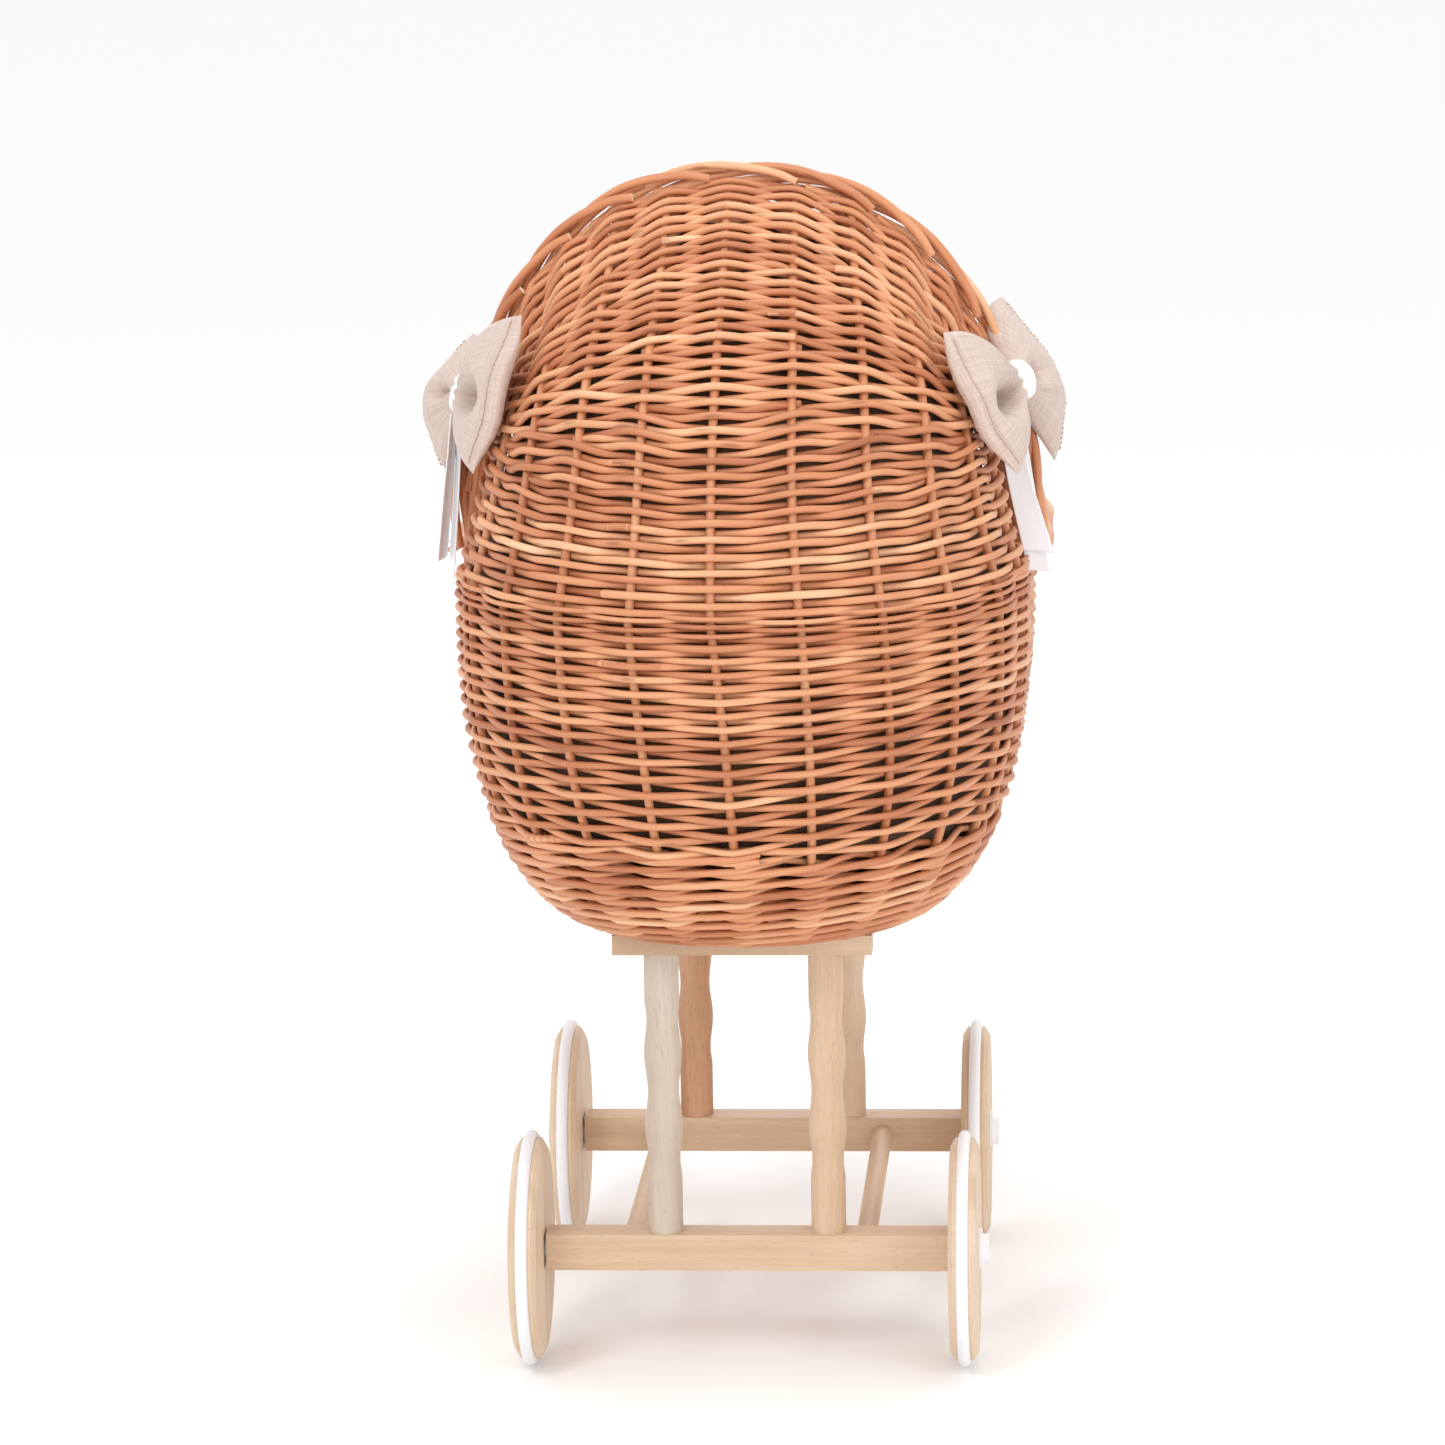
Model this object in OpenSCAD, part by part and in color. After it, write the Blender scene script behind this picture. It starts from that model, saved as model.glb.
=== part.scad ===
// Wicker bassinet with a fixed scoop hood, on a wheeled beech stand.
// Millimetres. X runs across, Y from the hood (-Y) to the foot end (+Y), Z up from the floor.
// The origin is the bottom centre of the whole piece.

/* [Wheels] */
// Diameter of a wheel over its tyre
wheel_d = 148; // [120:1:180]
// Thickness of the wooden disc
disc_t = 17.5; // [14:0.5:24]
// Diameter of the round rubber cord that is the tyre
tyre_d = 7.5; // [5:0.5:9]
// How far the tyre stands out of its groove
tyre_out = 4.5; // [3:0.25:6]
// Diameter of the steel axle rod
axle_d = 6; // [5:0.5:8]
// Diameter of a hub cap
cap_d = 26; // [20:1:34]

/* [Stand] */
// Distance between the two axles
wheelbase = 279; // [230:1:340]
// Side of the square axle beam
beam_s = 23; // [20:0.5:30]
// Length of an axle beam
beam_len = 252; // [210:1:310]
// Distance between the two legs of a pair
leg_gap = 102.5; // [85:0.5:130]
// Length of a leg between its beam and its rail
leg_len = 180.5; // [140:0.5:230]
// Diameter of a leg's plain ends
leg_d = 21.8; // [19:0.1:26]
// Diameter of a leg's turned bulges
bulge_d = 23.6; // [20:0.1:28]
// Diameter of a leg's turned necks
neck_d = 19.6; // [16:0.1:22]
// Diameter of the two stretchers
stretcher_d = 13; // [10:0.5:16]
// Distance between the two stretchers
stretcher_gap = 147; // [130:1:180]
// Length of a cross rail
rail_len = 161.5; // [130:0.5:200]
// Depth of a cross rail, along the basket
rail_w = 24; // [22:0.5:34]
// Thickness of a cross rail
rail_t = 12.5; // [11:0.5:20]

/* [Basket] */
// Radius of the round ends of the basket at its widest
bowl_r = 181; // [150:1:220]
// Distance between the centres of those round ends
straight = 170; // [120:1:240]
// Radius of the round ends of the flat base
base_r = 98; // [80:1:130]
// Thickness of the woven base
base_t = 9; // [6:0.5:14]
// Height of the rim above the underside of the base
rim_h = 216.5; // [170:0.5:270]
// Thickness of the woven wall over its stakes and weavers
wall_t = 12; // [9:0.5:14]
// Depth of the mattress
pad_t = 32; // [20:1:50]
// Thickness of the lining cloth with its seams
cloth_t = 1.6; // [1:0.1:3]

/* [Hood] */
// Height of the hood's woven edge above the rim
hood_h = 238; // [190:1:290]
// Half width of the hood's woven edge
hood_w = 164; // [140:1:200]
// How far the hood's lower corners stand behind the middle of the basket
corner_back = 42; // [20:1:70]
// How far the hood's top edge stands behind the middle of the basket
top_back = 75; // [50:1:110]
// Width of the rolled border round the mouth
border_w = 21; // [16:0.5:26]
// Depth of the rolled border round the mouth
border_t = 13; // [10:0.5:16]

/* [Bows and handle] */
// Length of a bow from end to end
bow_len = 126; // [100:1:150]
// Height of a bow at its ends
bow_h = 100; // [80:1:120]
// Thickness of a stuffed loop
bow_t = 18; // [12:1:24]
// Width of a ribbon tail
ribbon_w = 16; // [12:0.5:20]
// Diameter of the bent willow push handle
handle_d = 14; // [12:0.5:18]
// Distance between the handle's arms
handle_gap = 254; // [220:1:280]
// How far the grip stands out past the basket's end
handle_out = 69; // [50:1:110]
// Height of the grip above the rim
handle_up = 90; // [60:1:110]

/* [Hidden] */
$fn = 48;

HEAD = -1;
FOOT = 1;
LEFT = -1;
RIGHT = 1;

// Fits
glue_gap = 0.02;       // radial, a glued or pressed joint
run_gap = 0.06;        // radial, a wheel on its rod
side_gap = 0.1;        // along the rod, beside a wheel
soft_gap = 0.5;        // between cloth and what is round it
tenon_d = 14;
tenon_len = 10;
socket_len = 12;
washer_t = 1.5;
washer_d = 18;
cap_flange_t = 2;
cap_dome_t = 4;
cap_dome_d = 19;
cap_skin = 1.5;
disc_chamfer = 5;      // along the face
disc_chamfer_t = 3;    // through the thickness
groove_gap = 0.03;
screw_d = 4;
screw_head_d = 9;
screw_head_t = 2.6;
screw_bite = 9.5;
screw_gap = 50;
screw_washer_d = 22;
screw_washer_t = 1.4;

// Heights
axle_z = wheel_d / 2;
beam_top = axle_z + beam_s / 2;
leg_top = beam_top + leg_len;
rail_top = leg_top + rail_t;
rim_z = rail_top + rim_h;
base_top = rail_top + base_t;
lining_z = base_top + screw_washer_t + screw_head_t + 0.4;
pad_z = lining_z + cloth_t + soft_gap;

// Across, from the middle outwards
wheel_in = beam_len / 2 + washer_t + side_gap;
wheel_out = wheel_in + disc_t;
cap_in = wheel_out + side_gap;
disc_r = axle_z - tyre_out;
cord_r = axle_z - tyre_d / 2;
axle_y = wheelbase / 2;

// Basket outline: two round ends joined by straight sides
end_y = straight / 2;
widest_z = rim_z - 30;
bowl_power = 2 / 1.85;
rise_power = 2 / 2.25;
bowl_rows = 11;
end_steps = 18;

// Rolled rim and hood border
border_r = bowl_r + 3;
border_power = 2 / 2.2;
border_gap = 0.3;
mouth_w = hood_w + 15.5;
mouth_h = hood_h + 3.5;
hood_spread = 66;      // degrees of the arch that the stakes reach
hood_cols = 24;
hood_rows = 12;
hood_foot_r = bowl_r - 3;

// Bows: a middle point and three axes, for the right-hand one
knot_r = 11;
knot_h = 32;
ribbon_t = 1.2;
bow_rise = hood_h * 0.487;
bow_at = [arch_half_width(bow_rise) + border_w / 2 + 6,
          mouth_y(bow_rise) - knot_r - 3, rim_z + bow_rise];
bow_w_axis = unit([0.27, 0.96, -0.05]);
bow_bend = 10;         // degrees that each loop leans in towards the hood
bow_n_axis = unit(cross(bow_w_axis, [-0.32, 0, 0.947]));
bow_h_axis = cross(bow_n_axis, bow_w_axis);

// Push handle: an arch whose arms start low on the basket's end
arm_z = rim_z - 95;
grip_z = rim_z + handle_up;
arm_y = end_y + sqrt(pow(bowl_r + handle_d / 2 + 4, 2) - pow(handle_gap / 2, 2));
grip_y = end_y + bowl_r + handle_out;
binding_t = 2.5;
binding_len = 16;
handle_steps = 44;

// Middle of the whole piece along Y, which the origin lies under
row_y = -(grip_y + handle_d / 2 - end_y - bowl_r) / 2;

// ---- Small helpers ----

function unit(v) = v / norm(v);
function signed_power(v, p) = sign(v) * pow(abs(v), p);

// Bezier curve through four points
function bezier(p, t) = pow(1 - t, 3) * p[0] + 3 * t * pow(1 - t, 2) * p[1]
    + 3 * t * t * (1 - t) * p[2] + pow(t, 3) * p[3];

// Point of a superellipse arch at an angle from its top
function arch(angle, w, h, power) =
    [w * signed_power(sin(angle), power), h * pow(abs(cos(angle)), power)];

// Half width of the border's middle line at a height above the rim
function arch_half_width(h) =
    mouth_w * pow(1 - pow(h / mouth_h, 2 / border_power), border_power / 2);

// Closed skin over rings of points that all have the same count
module loft(rings) {
    count = len(rings[0]);
    last = len(rings) - 1;
    polyhedron(
        points = [for (r = rings) each r],
        faces = concat(
            [[for (i = [0 : count - 1]) count - 1 - i]],
            [for (k = [0 : last - 1]) for (i = [0 : count - 1]) let (j = (i + 1) % count)
                each [[k * count + i, k * count + j, (k + 1) * count + j],
                      [k * count + i, (k + 1) * count + j, (k + 1) * count + i]]],
            [[for (i = [0 : count - 1]) last * count + i]]),
        convexity = 8);
}

// Closed skin round a loop of sections, the last of which meets the first
module loft_loop(rings) {
    count = len(rings[0]);
    total = len(rings);
    polyhedron(
        points = [for (r = rings) each r],
        faces = [for (k = [0 : total - 1]) for (i = [0 : count - 1])
            let (j = (i + 1) % count, n = (k + 1) % total)
            each [[k * count + i, k * count + j, n * count + j],
                  [k * count + i, n * count + j, n * count + i]]],
        convexity = 8);
}

// Oval section at a point of a path, a across the path in the direction v, b along w
function oval(at, v, w, a, b, sides) =
    [for (i = [0 : sides - 1]) at + a * cos(360 * i / sides) * v + b * sin(360 * i / sides) * w];

// ---- Basket surface ----

// Outline of the basket at a round-end radius r: angle is 0 at the head end
function outline_at(angle, r, side) = [r * sin(angle), side * (end_y + r * cos(angle))];

// Loop of places round the outline, as [angle, end] pairs
LOOP = concat([for (i = [0 : end_steps]) [-90 + 180 * i / end_steps, HEAD]],
              [for (i = [0 : end_steps]) [90 - 180 * i / end_steps, FOOT]]);

// Height profile of the bowl: a runs from 0 at the base to 90 at the widest
function bowl_point(a) = [base_r + (bowl_r - base_r) * pow(sin(a), bowl_power),
                          rail_top + (widest_z - rail_top) * (1 - pow(cos(a), rise_power))];
function bowl_slope(a) = unit(bowl_point(min(a + 1, 90)) - bowl_point(max(a - 1, 0)));
function bowl_inset(a, d) = let (s = bowl_slope(a)) bowl_point(a) + d * [-s[1], s[0]];

// Profile of a skin between two depths, rising to a height
function bowl_section(d_out, d_in, top) = concat(
    [for (i = [0 : bowl_rows]) bowl_inset(90 * i / bowl_rows, d_out)],
    [[bowl_r - d_out, top], [bowl_r - d_in, top]],
    [for (i = [bowl_rows : -1 : 0]) bowl_inset(90 * i / bowl_rows, d_in)]);

module bowl_skin(section) {
    loft_loop([for (p = LOOP)
        [for (q = section) let (o = outline_at(p[0], q[0], p[1])) [o[0], o[1], q[1]]]]);
}

// ---- Hood surface ----

// y of the mouth's plane at a height above the rim
function mouth_y(h) = -corner_back - (top_back - corner_back) * h / hood_h;

// The rim line under the hood: u is -1 and 1 at the corners and 0 at the head end
hood_half = bowl_r * PI / 2 + end_y - corner_back;
end_share = bowl_r * PI / 2 / hood_half;
function hood_foot(u) = abs(u) <= end_share
    ? let (a = 90 * u / end_share) [hood_foot_r * sin(a), -end_y - hood_foot_r * cos(a), rim_z]
    : [sign(u) * hood_foot_r, -end_y + (abs(u) - end_share) * hood_half, rim_z];
function hood_top(u) = let (p = arch(hood_spread * u, hood_w, hood_h, border_power))
    [p[0], mouth_y(p[1]), rim_z + p[1]];

// Outer skin of the hood: t is 0 at the rim and 1 at the mouth
function hood_point(u, t) = let (
        foot = hood_foot(u),
        top = hood_top(u),
        a = 90 * max(-1, min(1, u / end_share)),
        up = [-0.22 * sin(a), 0.12 * cos(a), 0.97] * 0.52 * (top[2] - rim_z),
        turn = sign(u) * 90 * pow(abs(u), 1.3),
        climb = 27 + 46 * pow(abs(u), 1.5),
        fore = [-sin(turn) * cos(climb), cos(turn) * cos(climb), sin(climb)]
            * 0.33 * norm(top - foot))
    bezier([foot, foot + up, top - fore, top], t);
function hood_normal(u, t) = let (
        du = hood_point(min(1, u + 0.01), t) - hood_point(max(-1, u - 0.01), t),
        dt = hood_point(u, min(1, t + 0.01)) - hood_point(u, max(0, t - 0.01)),
        n = unit(cross(du, dt)))
    unit([n[0], n[1] * (1 - pow(t, 6)), n[2] * (1 - pow(1 - t, 8))]);
function hood_inset(u, t, d) = hood_point(u, t) - d * hood_normal(u, t);

// Skin of the hood between two depths, from one mouth edge to the other
module hood_skin(d_out, d_in, low, high) {
    loft([for (i = [-hood_cols / 2 : hood_cols / 2]) let (u = 2 * i / hood_cols) concat(
        [for (k = [0 : hood_rows]) hood_inset(u, low + (high - low) * k / hood_rows, d_out)],
        [for (k = [hood_rows : -1 : 0]) hood_inset(u, low + (high - low) * k / hood_rows, d_in)])]);
}

// ---- Wheels and axles ----

module along_x(side, from) {
    translate([side * from, 0, 0]) rotate([0, side * 90, 0]) children();
}

module at_axle(end) {
    translate([0, end * axle_y, axle_z]) children();
}

module wheel_disc(side, end) {
    color("burlywood") at_axle(end) along_x(side, wheel_in) difference() {
        rotate_extrude($fn = 96) polygon([
            [axle_d / 2 + run_gap, 0], [disc_r - disc_chamfer, 0], [disc_r, disc_chamfer_t],
            [disc_r, disc_t - disc_chamfer_t], [disc_r - disc_chamfer, disc_t],
            [axle_d / 2 + run_gap, disc_t]]);
        translate([0, 0, disc_t / 2]) tyre_ring(tyre_d / 2 + groove_gap);
    }
}

module tyre_ring(r) {
    rotate_extrude($fn = 96) translate([cord_r, 0]) circle(r = r, $fn = 24);
}

module tyre(side, end) {
    color("white") at_axle(end) along_x(side, wheel_in + disc_t / 2) tyre_ring(tyre_d / 2);
}

module axle_rod(end) {
    rod_half = cap_in + cap_flange_t + cap_dome_t - cap_skin;
    color("silver") at_axle(end) translate([-rod_half, 0, 0]) rotate([0, 90, 0])
        cylinder(d = axle_d, h = 2 * rod_half);
}

module axle_washers() {
    color("silver") for (end = [HEAD, FOOT]) for (side = [LEFT, RIGHT])
        at_axle(end) along_x(side, beam_len / 2) difference() {
            cylinder(d = washer_d, h = washer_t);
            translate([0, 0, -1]) cylinder(d = axle_d + 2 * run_gap, h = washer_t + 2);
        }
}

module hub_cap(side, end) {
    color("white") at_axle(end) along_x(side, cap_in) difference() {
        union() {
            cylinder(d = cap_d, h = cap_flange_t);
            cylinder(d = cap_dome_d, h = cap_flange_t + cap_dome_t);
        }
        translate([0, 0, -1]) cylinder(d = axle_d + 2 * glue_gap,
                                       h = 1 + cap_flange_t + cap_dome_t - cap_skin);
    }
}

// ---- Stand ----

module axle_beam(end) {
    color("burlywood") difference() {
        translate([-beam_len / 2, end * axle_y - beam_s / 2, axle_z - beam_s / 2])
            cube([beam_len, beam_s, beam_s]);
        at_axle(end) translate([-beam_len, 0, 0]) rotate([0, 90, 0])
            cylinder(d = axle_d + 2 * glue_gap, h = 2 * beam_len);
        for (side = [LEFT, RIGHT]) {
            translate([side * leg_gap / 2, end * axle_y, beam_top - tenon_len / 2 - 1])
                cylinder(d = tenon_d * 0.8 + 2 * glue_gap, h = tenon_len);
            translate([side * stretcher_gap / 2, end * (axle_y - beam_s / 2) - end, axle_z])
                rotate([-end * 90, 0, 0])
                cylinder(d = stretcher_d + 2 * glue_gap, h = stretcher_bite + 1);
        }
    }
}

// The stretchers stop short of the axle rod
stretcher_bite = (beam_s - axle_d) / 2 - 2;

module stretcher(side) {
    half = axle_y - beam_s / 2 + stretcher_bite;
    color("burlywood") translate([side * stretcher_gap / 2, -half, axle_z]) rotate([-90, 0, 0])
        cylinder(d = stretcher_d, h = 2 * half);
}

// Turned outline: radius at a share of the leg's length, counted from its top
neck_at = [0.235, 0.495, 0.75];
neck_reach = 0.06;
function leg_radius(s) =
    s < neck_at[0] - neck_reach || s > neck_at[2] + neck_reach ? leg_d / 2
    : s < neck_at[0] ? wave((neck_at[0] - s) / neck_reach / 2, leg_d)
    : s > neck_at[2] ? wave((s - neck_at[2]) / neck_reach / 2, leg_d)
    : s < neck_at[1] ? wave((s - neck_at[0]) / (neck_at[1] - neck_at[0]), bulge_d)
    : wave((s - neck_at[1]) / (neck_at[2] - neck_at[1]), bulge_d);

// Smooth swell from the neck at 0 to a diameter at one half, and back at 1
function wave(x, d) = neck_d / 2 + (d - neck_d) / 2 * (1 - cos(360 * x)) / 2;

module leg(side, end) {
    steps = 50;
    low_tenon = tenon_len / 2;
    color("burlywood") translate([side * leg_gap / 2, end * axle_y, beam_top]) {
        rotate_extrude() polygon(concat([[0, 0]],
            [for (i = [steps : -1 : 0]) [leg_radius(i / steps), leg_len * (1 - i / steps)]],
            [[0, leg_len]]));
        translate([0, 0, -low_tenon]) cylinder(d = tenon_d * 0.8, h = low_tenon + 1);
        translate([0, 0, leg_len - 1]) cylinder(d = tenon_d, h = tenon_len + 1 - 1);
    }
}

module cross_rail(end) {
    color("burlywood") difference() {
        translate([-rail_len / 2, end * axle_y - rail_w / 2, leg_top])
            cube([rail_len, rail_w, rail_t]);
        for (side = [LEFT, RIGHT]) {
            translate([side * leg_gap / 2, end * axle_y, leg_top - 1])
                cylinder(d = tenon_d + 2 * glue_gap, h = tenon_len + 0.5);
            translate([side * screw_gap / 2, end * axle_y, rail_top - screw_bite])
                cylinder(d = screw_d + 2 * glue_gap, h = rail_t);
        }
    }
}

// ---- Basket ----

module oval_plate(r, t) {
    linear_extrude(t) {
        for (end = [HEAD, FOOT]) translate([0, end * end_y]) circle(r = r, $fn = 96);
        square([2 * r, straight], center = true);
    }
}

module basket_base() {
    color("peru") difference() {
        translate([0, 0, rail_top]) oval_plate(base_r - 1, base_t);
        at_screws(rail_top - 1) cylinder(d = screw_d + 0.4, h = base_t + 2);
    }
}

module at_screws(z) {
    for (end = [HEAD, FOOT]) for (side = [LEFT, RIGHT])
        translate([side * screw_gap / 2, end * axle_y, z]) children();
}

module base_screws() {
    color("silver") at_screws(base_top + screw_washer_t) {
        cylinder(d = screw_head_d, h = screw_head_t);
        shank = screw_washer_t + base_t + screw_bite - 0.5;
        translate([0, 0, -shank]) cylinder(d = screw_d, h = shank + 1);
    }
}

module base_washers() {
    color("silver") at_screws(base_top) difference() {
        cylinder(d = screw_washer_d, h = screw_washer_t);
        translate([0, 0, -1]) cylinder(d = screw_d + 0.4, h = screw_washer_t + 2);
    }
}

module basket_wall() {
    color("peru") bowl_skin(bowl_section(0, wall_t, rim_z - border_gap));
}

module hood() {
    color("peru") hood_skin(0, wall_t, 0, 1);
}

// Rolled border on the rim, from one hood corner round the foot end to the other
module rim_border() {
    sides = 10;
    z = rim_z + border_t / 2 + border_gap;
    foot_path = concat(
        [[for (y = [-corner_back + border_t + 1, end_y - 30]) [border_r, y, 90]]],
        [[for (i = [0 : 24]) let (a = 90 - 180 * i / 24)
            [border_r * sin(a), end_y + border_r * cos(a), a]]],
        [[for (y = [end_y - 30, -corner_back + border_t + 1]) [-border_r, y, -90]]]);
    color("sienna") loft([for (leg_part = foot_path) for (p = leg_part)
        oval([p[0], p[1], z], [sin(p[2]), cos(p[2]), 0], [0, 0, 1],
             border_t / 2 + 0.5, border_t / 2, sides)]);
}

// Rolled border round the hood's mouth
module hood_border() {
    steps = 40;
    color("sienna") loft([for (i = [0 : steps]) let (
        a = -90 + 180 * i / steps,
        p = arch(a, mouth_w, mouth_h, border_power),
        v = unit([p[0] / pow(mouth_w, 2), 0, p[1] / pow(mouth_h, 2)]))
        oval([p[0], mouth_y(p[1]) + border_t / 2 + border_gap, rim_z + border_t / 2 + p[1]],
             v, [0, 1, 0], border_w / 2, border_t / 2, 12)]);
}

// ---- Soft parts ----

module basket_lining() {
    d = wall_t + soft_gap;
    color("tan") {
        difference() {
            bowl_skin(bowl_section(d, d + cloth_t, rim_z - 6));
            translate([0, 0, lining_z - 50]) cube([1000, 1000, 100], center = true);
        }
        translate([0, 0, lining_z + 0.01]) oval_plate(base_r - 1, cloth_t);
    }
}

module hood_lining() {
    d = wall_t + soft_gap + 0.4;
    color("tan") hood_skin(d, d + cloth_t, 0.03, 0.97);
}

module mattress() {
    color("ivory") translate([0, 0, pad_z]) oval_plate(base_r + 5, pad_t);
}

// One stuffed loop of a bow, in the bow's own axes
module bow_loop(dir) {
    steps = 8;
    color("tan") loft([for (k = [0 : steps]) let (
        s = k / steps,
        w = knot_r + 0.5 + s * (bow_len / 2 - knot_r),
        half_h = knot_r + (bow_h / 2 - knot_r) * (1 - pow(1 - s, 1.6)),
        half_t = 3 + (bow_t / 2 - 3) * sin(180 * pow(s, 1.5)))
        oval([dir * w, 0, 0], [0, 0, 1], [0, dir, 0], half_h, half_t, 14)]);
}

// Places its children in the axes of one bow: length, thickness, height
module at_bow(side) {
    mirror([side == LEFT ? 1 : 0, 0, 0])
        multmatrix([for (i = [0 : 2])
            [bow_w_axis[i], -bow_n_axis[i], bow_h_axis[i], bow_at[i]]])
        children();
}

module bow(side) {
    at_bow(side) for (dir = [HEAD, FOOT]) rotate([0, 0, dir * bow_bend]) bow_loop(dir);
}

module bow_knot(side) {
    color("white") at_bow(side) translate([0, 0, -knot_h / 2]) cylinder(r = knot_r, h = knot_h);
}

// Two ribbon tails, each a flat strip from under the knot to its hem
module ribbons(side) {
    root = bow_at - [2, 2, knot_h / 2 + 3];
    hem_x = bowl_r + 2 * border_gap + ribbon_w / 2;
    hems = [[hem_x, root[1], rim_z + 7], [hem_x, root[1] + 5, rim_z - 7]];
    color("white") mirror([side == LEFT ? 1 : 0, 0, 0]) for (i = [0, 1]) hull() {
        translate(root + [0, 5 * i, 0])
            cube([ribbon_w * 0.6, ribbon_t, ribbon_t], center = true);
        translate(hems[i]) cube([ribbon_w, ribbon_t, ribbon_t], center = true);
    }
}

// ---- Push handle ----

// Path of the handle: angle -90 and 90 at the arms' ends, 0 at the grip's middle
function handle_point(angle) = let (
        p = arch(angle, handle_gap / 2, 1, 2 / 3.4))
    [p[0], arm_y + (grip_y - arm_y) * pow(p[1], 3), arm_z + (grip_z - arm_z) * p[1]];

module push_handle() {
    color("sienna") loft([for (i = [0 : handle_steps]) let (
        a = -90 + 180 * i / handle_steps,
        t = unit(handle_point(min(90, a + 0.5)) - handle_point(max(-90, a - 0.5))),
        v = unit(cross(t, [0, 0.6, -0.8])))
        oval(handle_point(a), v, cross(t, v), handle_d / 2, handle_d / 2, 10)]);
}

// A binding round each of the two lowest straight stretches of both arms
module handle_bindings() {
    color("peru") for (side = [LEFT, RIGHT]) for (i = [0, 1]) {
        low = handle_point(side * (90 - 180 * i / handle_steps));
        high = handle_point(side * (90 - 180 * (i + 1) / handle_steps));
        way = unit(high - low);
        translate((low + high) / 2) rotate([0, acos(way[2]), atan2(way[1], way[0])])
            difference() {
                cylinder(d = handle_d + 2 * binding_t, h = binding_len, center = true);
                cylinder(d = handle_d + 0.6, h = binding_len + 2, center = true);
            }
    }
}

// Moves the basket and its stand so that the origin lies under the middle of the whole
module placed() {
    translate([0, row_y, 0]) children();
}

placed() axle_beam(HEAD);  // axle_beam_head
placed() axle_beam(FOOT);  // axle_beam_foot
placed() leg(LEFT, HEAD);  // leg_head_left
placed() leg(RIGHT, HEAD);  // leg_head_right
placed() leg(LEFT, FOOT);  // leg_foot_left
placed() leg(RIGHT, FOOT);  // leg_foot_right
placed() cross_rail(HEAD);  // cross_rail_head
placed() cross_rail(FOOT);  // cross_rail_foot
placed() stretcher(LEFT);  // stretcher_left
placed() stretcher(RIGHT);  // stretcher_right
placed() axle_rod(HEAD);  // axle_rod_head
placed() axle_rod(FOOT);  // axle_rod_foot
placed() axle_washers();
placed() hub_cap(LEFT, HEAD);  // hub_cap_head_left
placed() hub_cap(RIGHT, HEAD);  // hub_cap_head_right
placed() hub_cap(LEFT, FOOT);  // hub_cap_foot_left
placed() hub_cap(RIGHT, FOOT);  // hub_cap_foot_right
placed() wheel_disc(LEFT, HEAD);  // wheel_head_left
placed() wheel_disc(RIGHT, HEAD);  // wheel_head_right
placed() wheel_disc(LEFT, FOOT);  // wheel_foot_left
placed() wheel_disc(RIGHT, FOOT);  // wheel_foot_right
placed() tyre(LEFT, HEAD);  // tyre_head_left
placed() tyre(RIGHT, HEAD);  // tyre_head_right
placed() tyre(LEFT, FOOT);  // tyre_foot_left
placed() tyre(RIGHT, FOOT);  // tyre_foot_right
placed() basket_base();
placed() base_screws();
placed() base_washers();
placed() basket_wall();
placed() hood();
placed() hood_border();
placed() rim_border();
placed() basket_lining();
placed() hood_lining();
placed() mattress();
placed() bow(LEFT);  // bow_left
placed() bow(RIGHT);  // bow_right
placed() bow_knot(LEFT);  // bow_knot_left
placed() bow_knot(RIGHT);  // bow_knot_right
placed() ribbons(LEFT);  // ribbons_left
placed() ribbons(RIGHT);  // ribbons_right
placed() push_handle();
placed() handle_bindings();
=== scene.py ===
import math

import bpy
import numpy as np
from mathutils import Matrix, Vector


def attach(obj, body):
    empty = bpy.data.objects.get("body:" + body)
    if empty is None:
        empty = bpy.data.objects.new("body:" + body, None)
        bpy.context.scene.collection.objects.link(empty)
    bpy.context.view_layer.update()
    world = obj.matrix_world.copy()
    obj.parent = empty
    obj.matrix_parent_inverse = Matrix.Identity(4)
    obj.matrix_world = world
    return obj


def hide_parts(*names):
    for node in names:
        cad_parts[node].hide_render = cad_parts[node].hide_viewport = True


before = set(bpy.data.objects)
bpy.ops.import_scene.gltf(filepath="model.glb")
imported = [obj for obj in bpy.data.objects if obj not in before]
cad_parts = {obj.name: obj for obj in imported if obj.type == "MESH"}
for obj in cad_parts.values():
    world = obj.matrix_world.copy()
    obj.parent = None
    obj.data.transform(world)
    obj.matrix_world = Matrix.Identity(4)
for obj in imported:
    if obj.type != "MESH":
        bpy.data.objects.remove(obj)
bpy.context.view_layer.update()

rng = np.random.default_rng(414)
PI = math.pi

# Sizes in millimetres, measured from the middle of the wheelbase. They repeat the CAD's.
ROW_Y = -38.0
END_Y = 85.0
BOWL_R = 181.0
BASE_R = 98.0
RAIL_TOP = 278.5
RIM_Z = 495.0
WIDEST_Z = RIM_Z - 30.0
CORNER_BACK = 42.0
TOP_BACK = 75.0
HOOD_W = 164.0
HOOD_H = 238.0
HOOD_SPREAD = 66.0
HOOD_FOOT_R = 178.0
MOUTH_W = 179.5
MOUTH_H = 241.5
BORDER_T = 13.0
HOOD_HALF = BOWL_R * PI / 2 + END_Y - CORNER_BACK

# The weave: its middle surface lies this far inside the CAD shell's outer face.
MID = 7.3
OVER = 4.3
CRISP = 0.965
STAKES = 27
HALF_LOOP = BOWL_R * PI + 2 * END_Y
SPACING = 2 * HALF_LOOP / STAKES


def signed_power(x, p):
    return np.sign(x) * np.abs(x) ** p


def smooth(x):
    x = np.clip(x, 0, 1)
    return x * x * (3 - 2 * x)


def lerp(a, b, t):
    return a + (b - a) * t


def lengths(path):
    """How far along a path each of its points lies."""
    return np.concatenate([[0], np.cumsum(np.linalg.norm(np.diff(path, axis=0), axis=1))])


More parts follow.
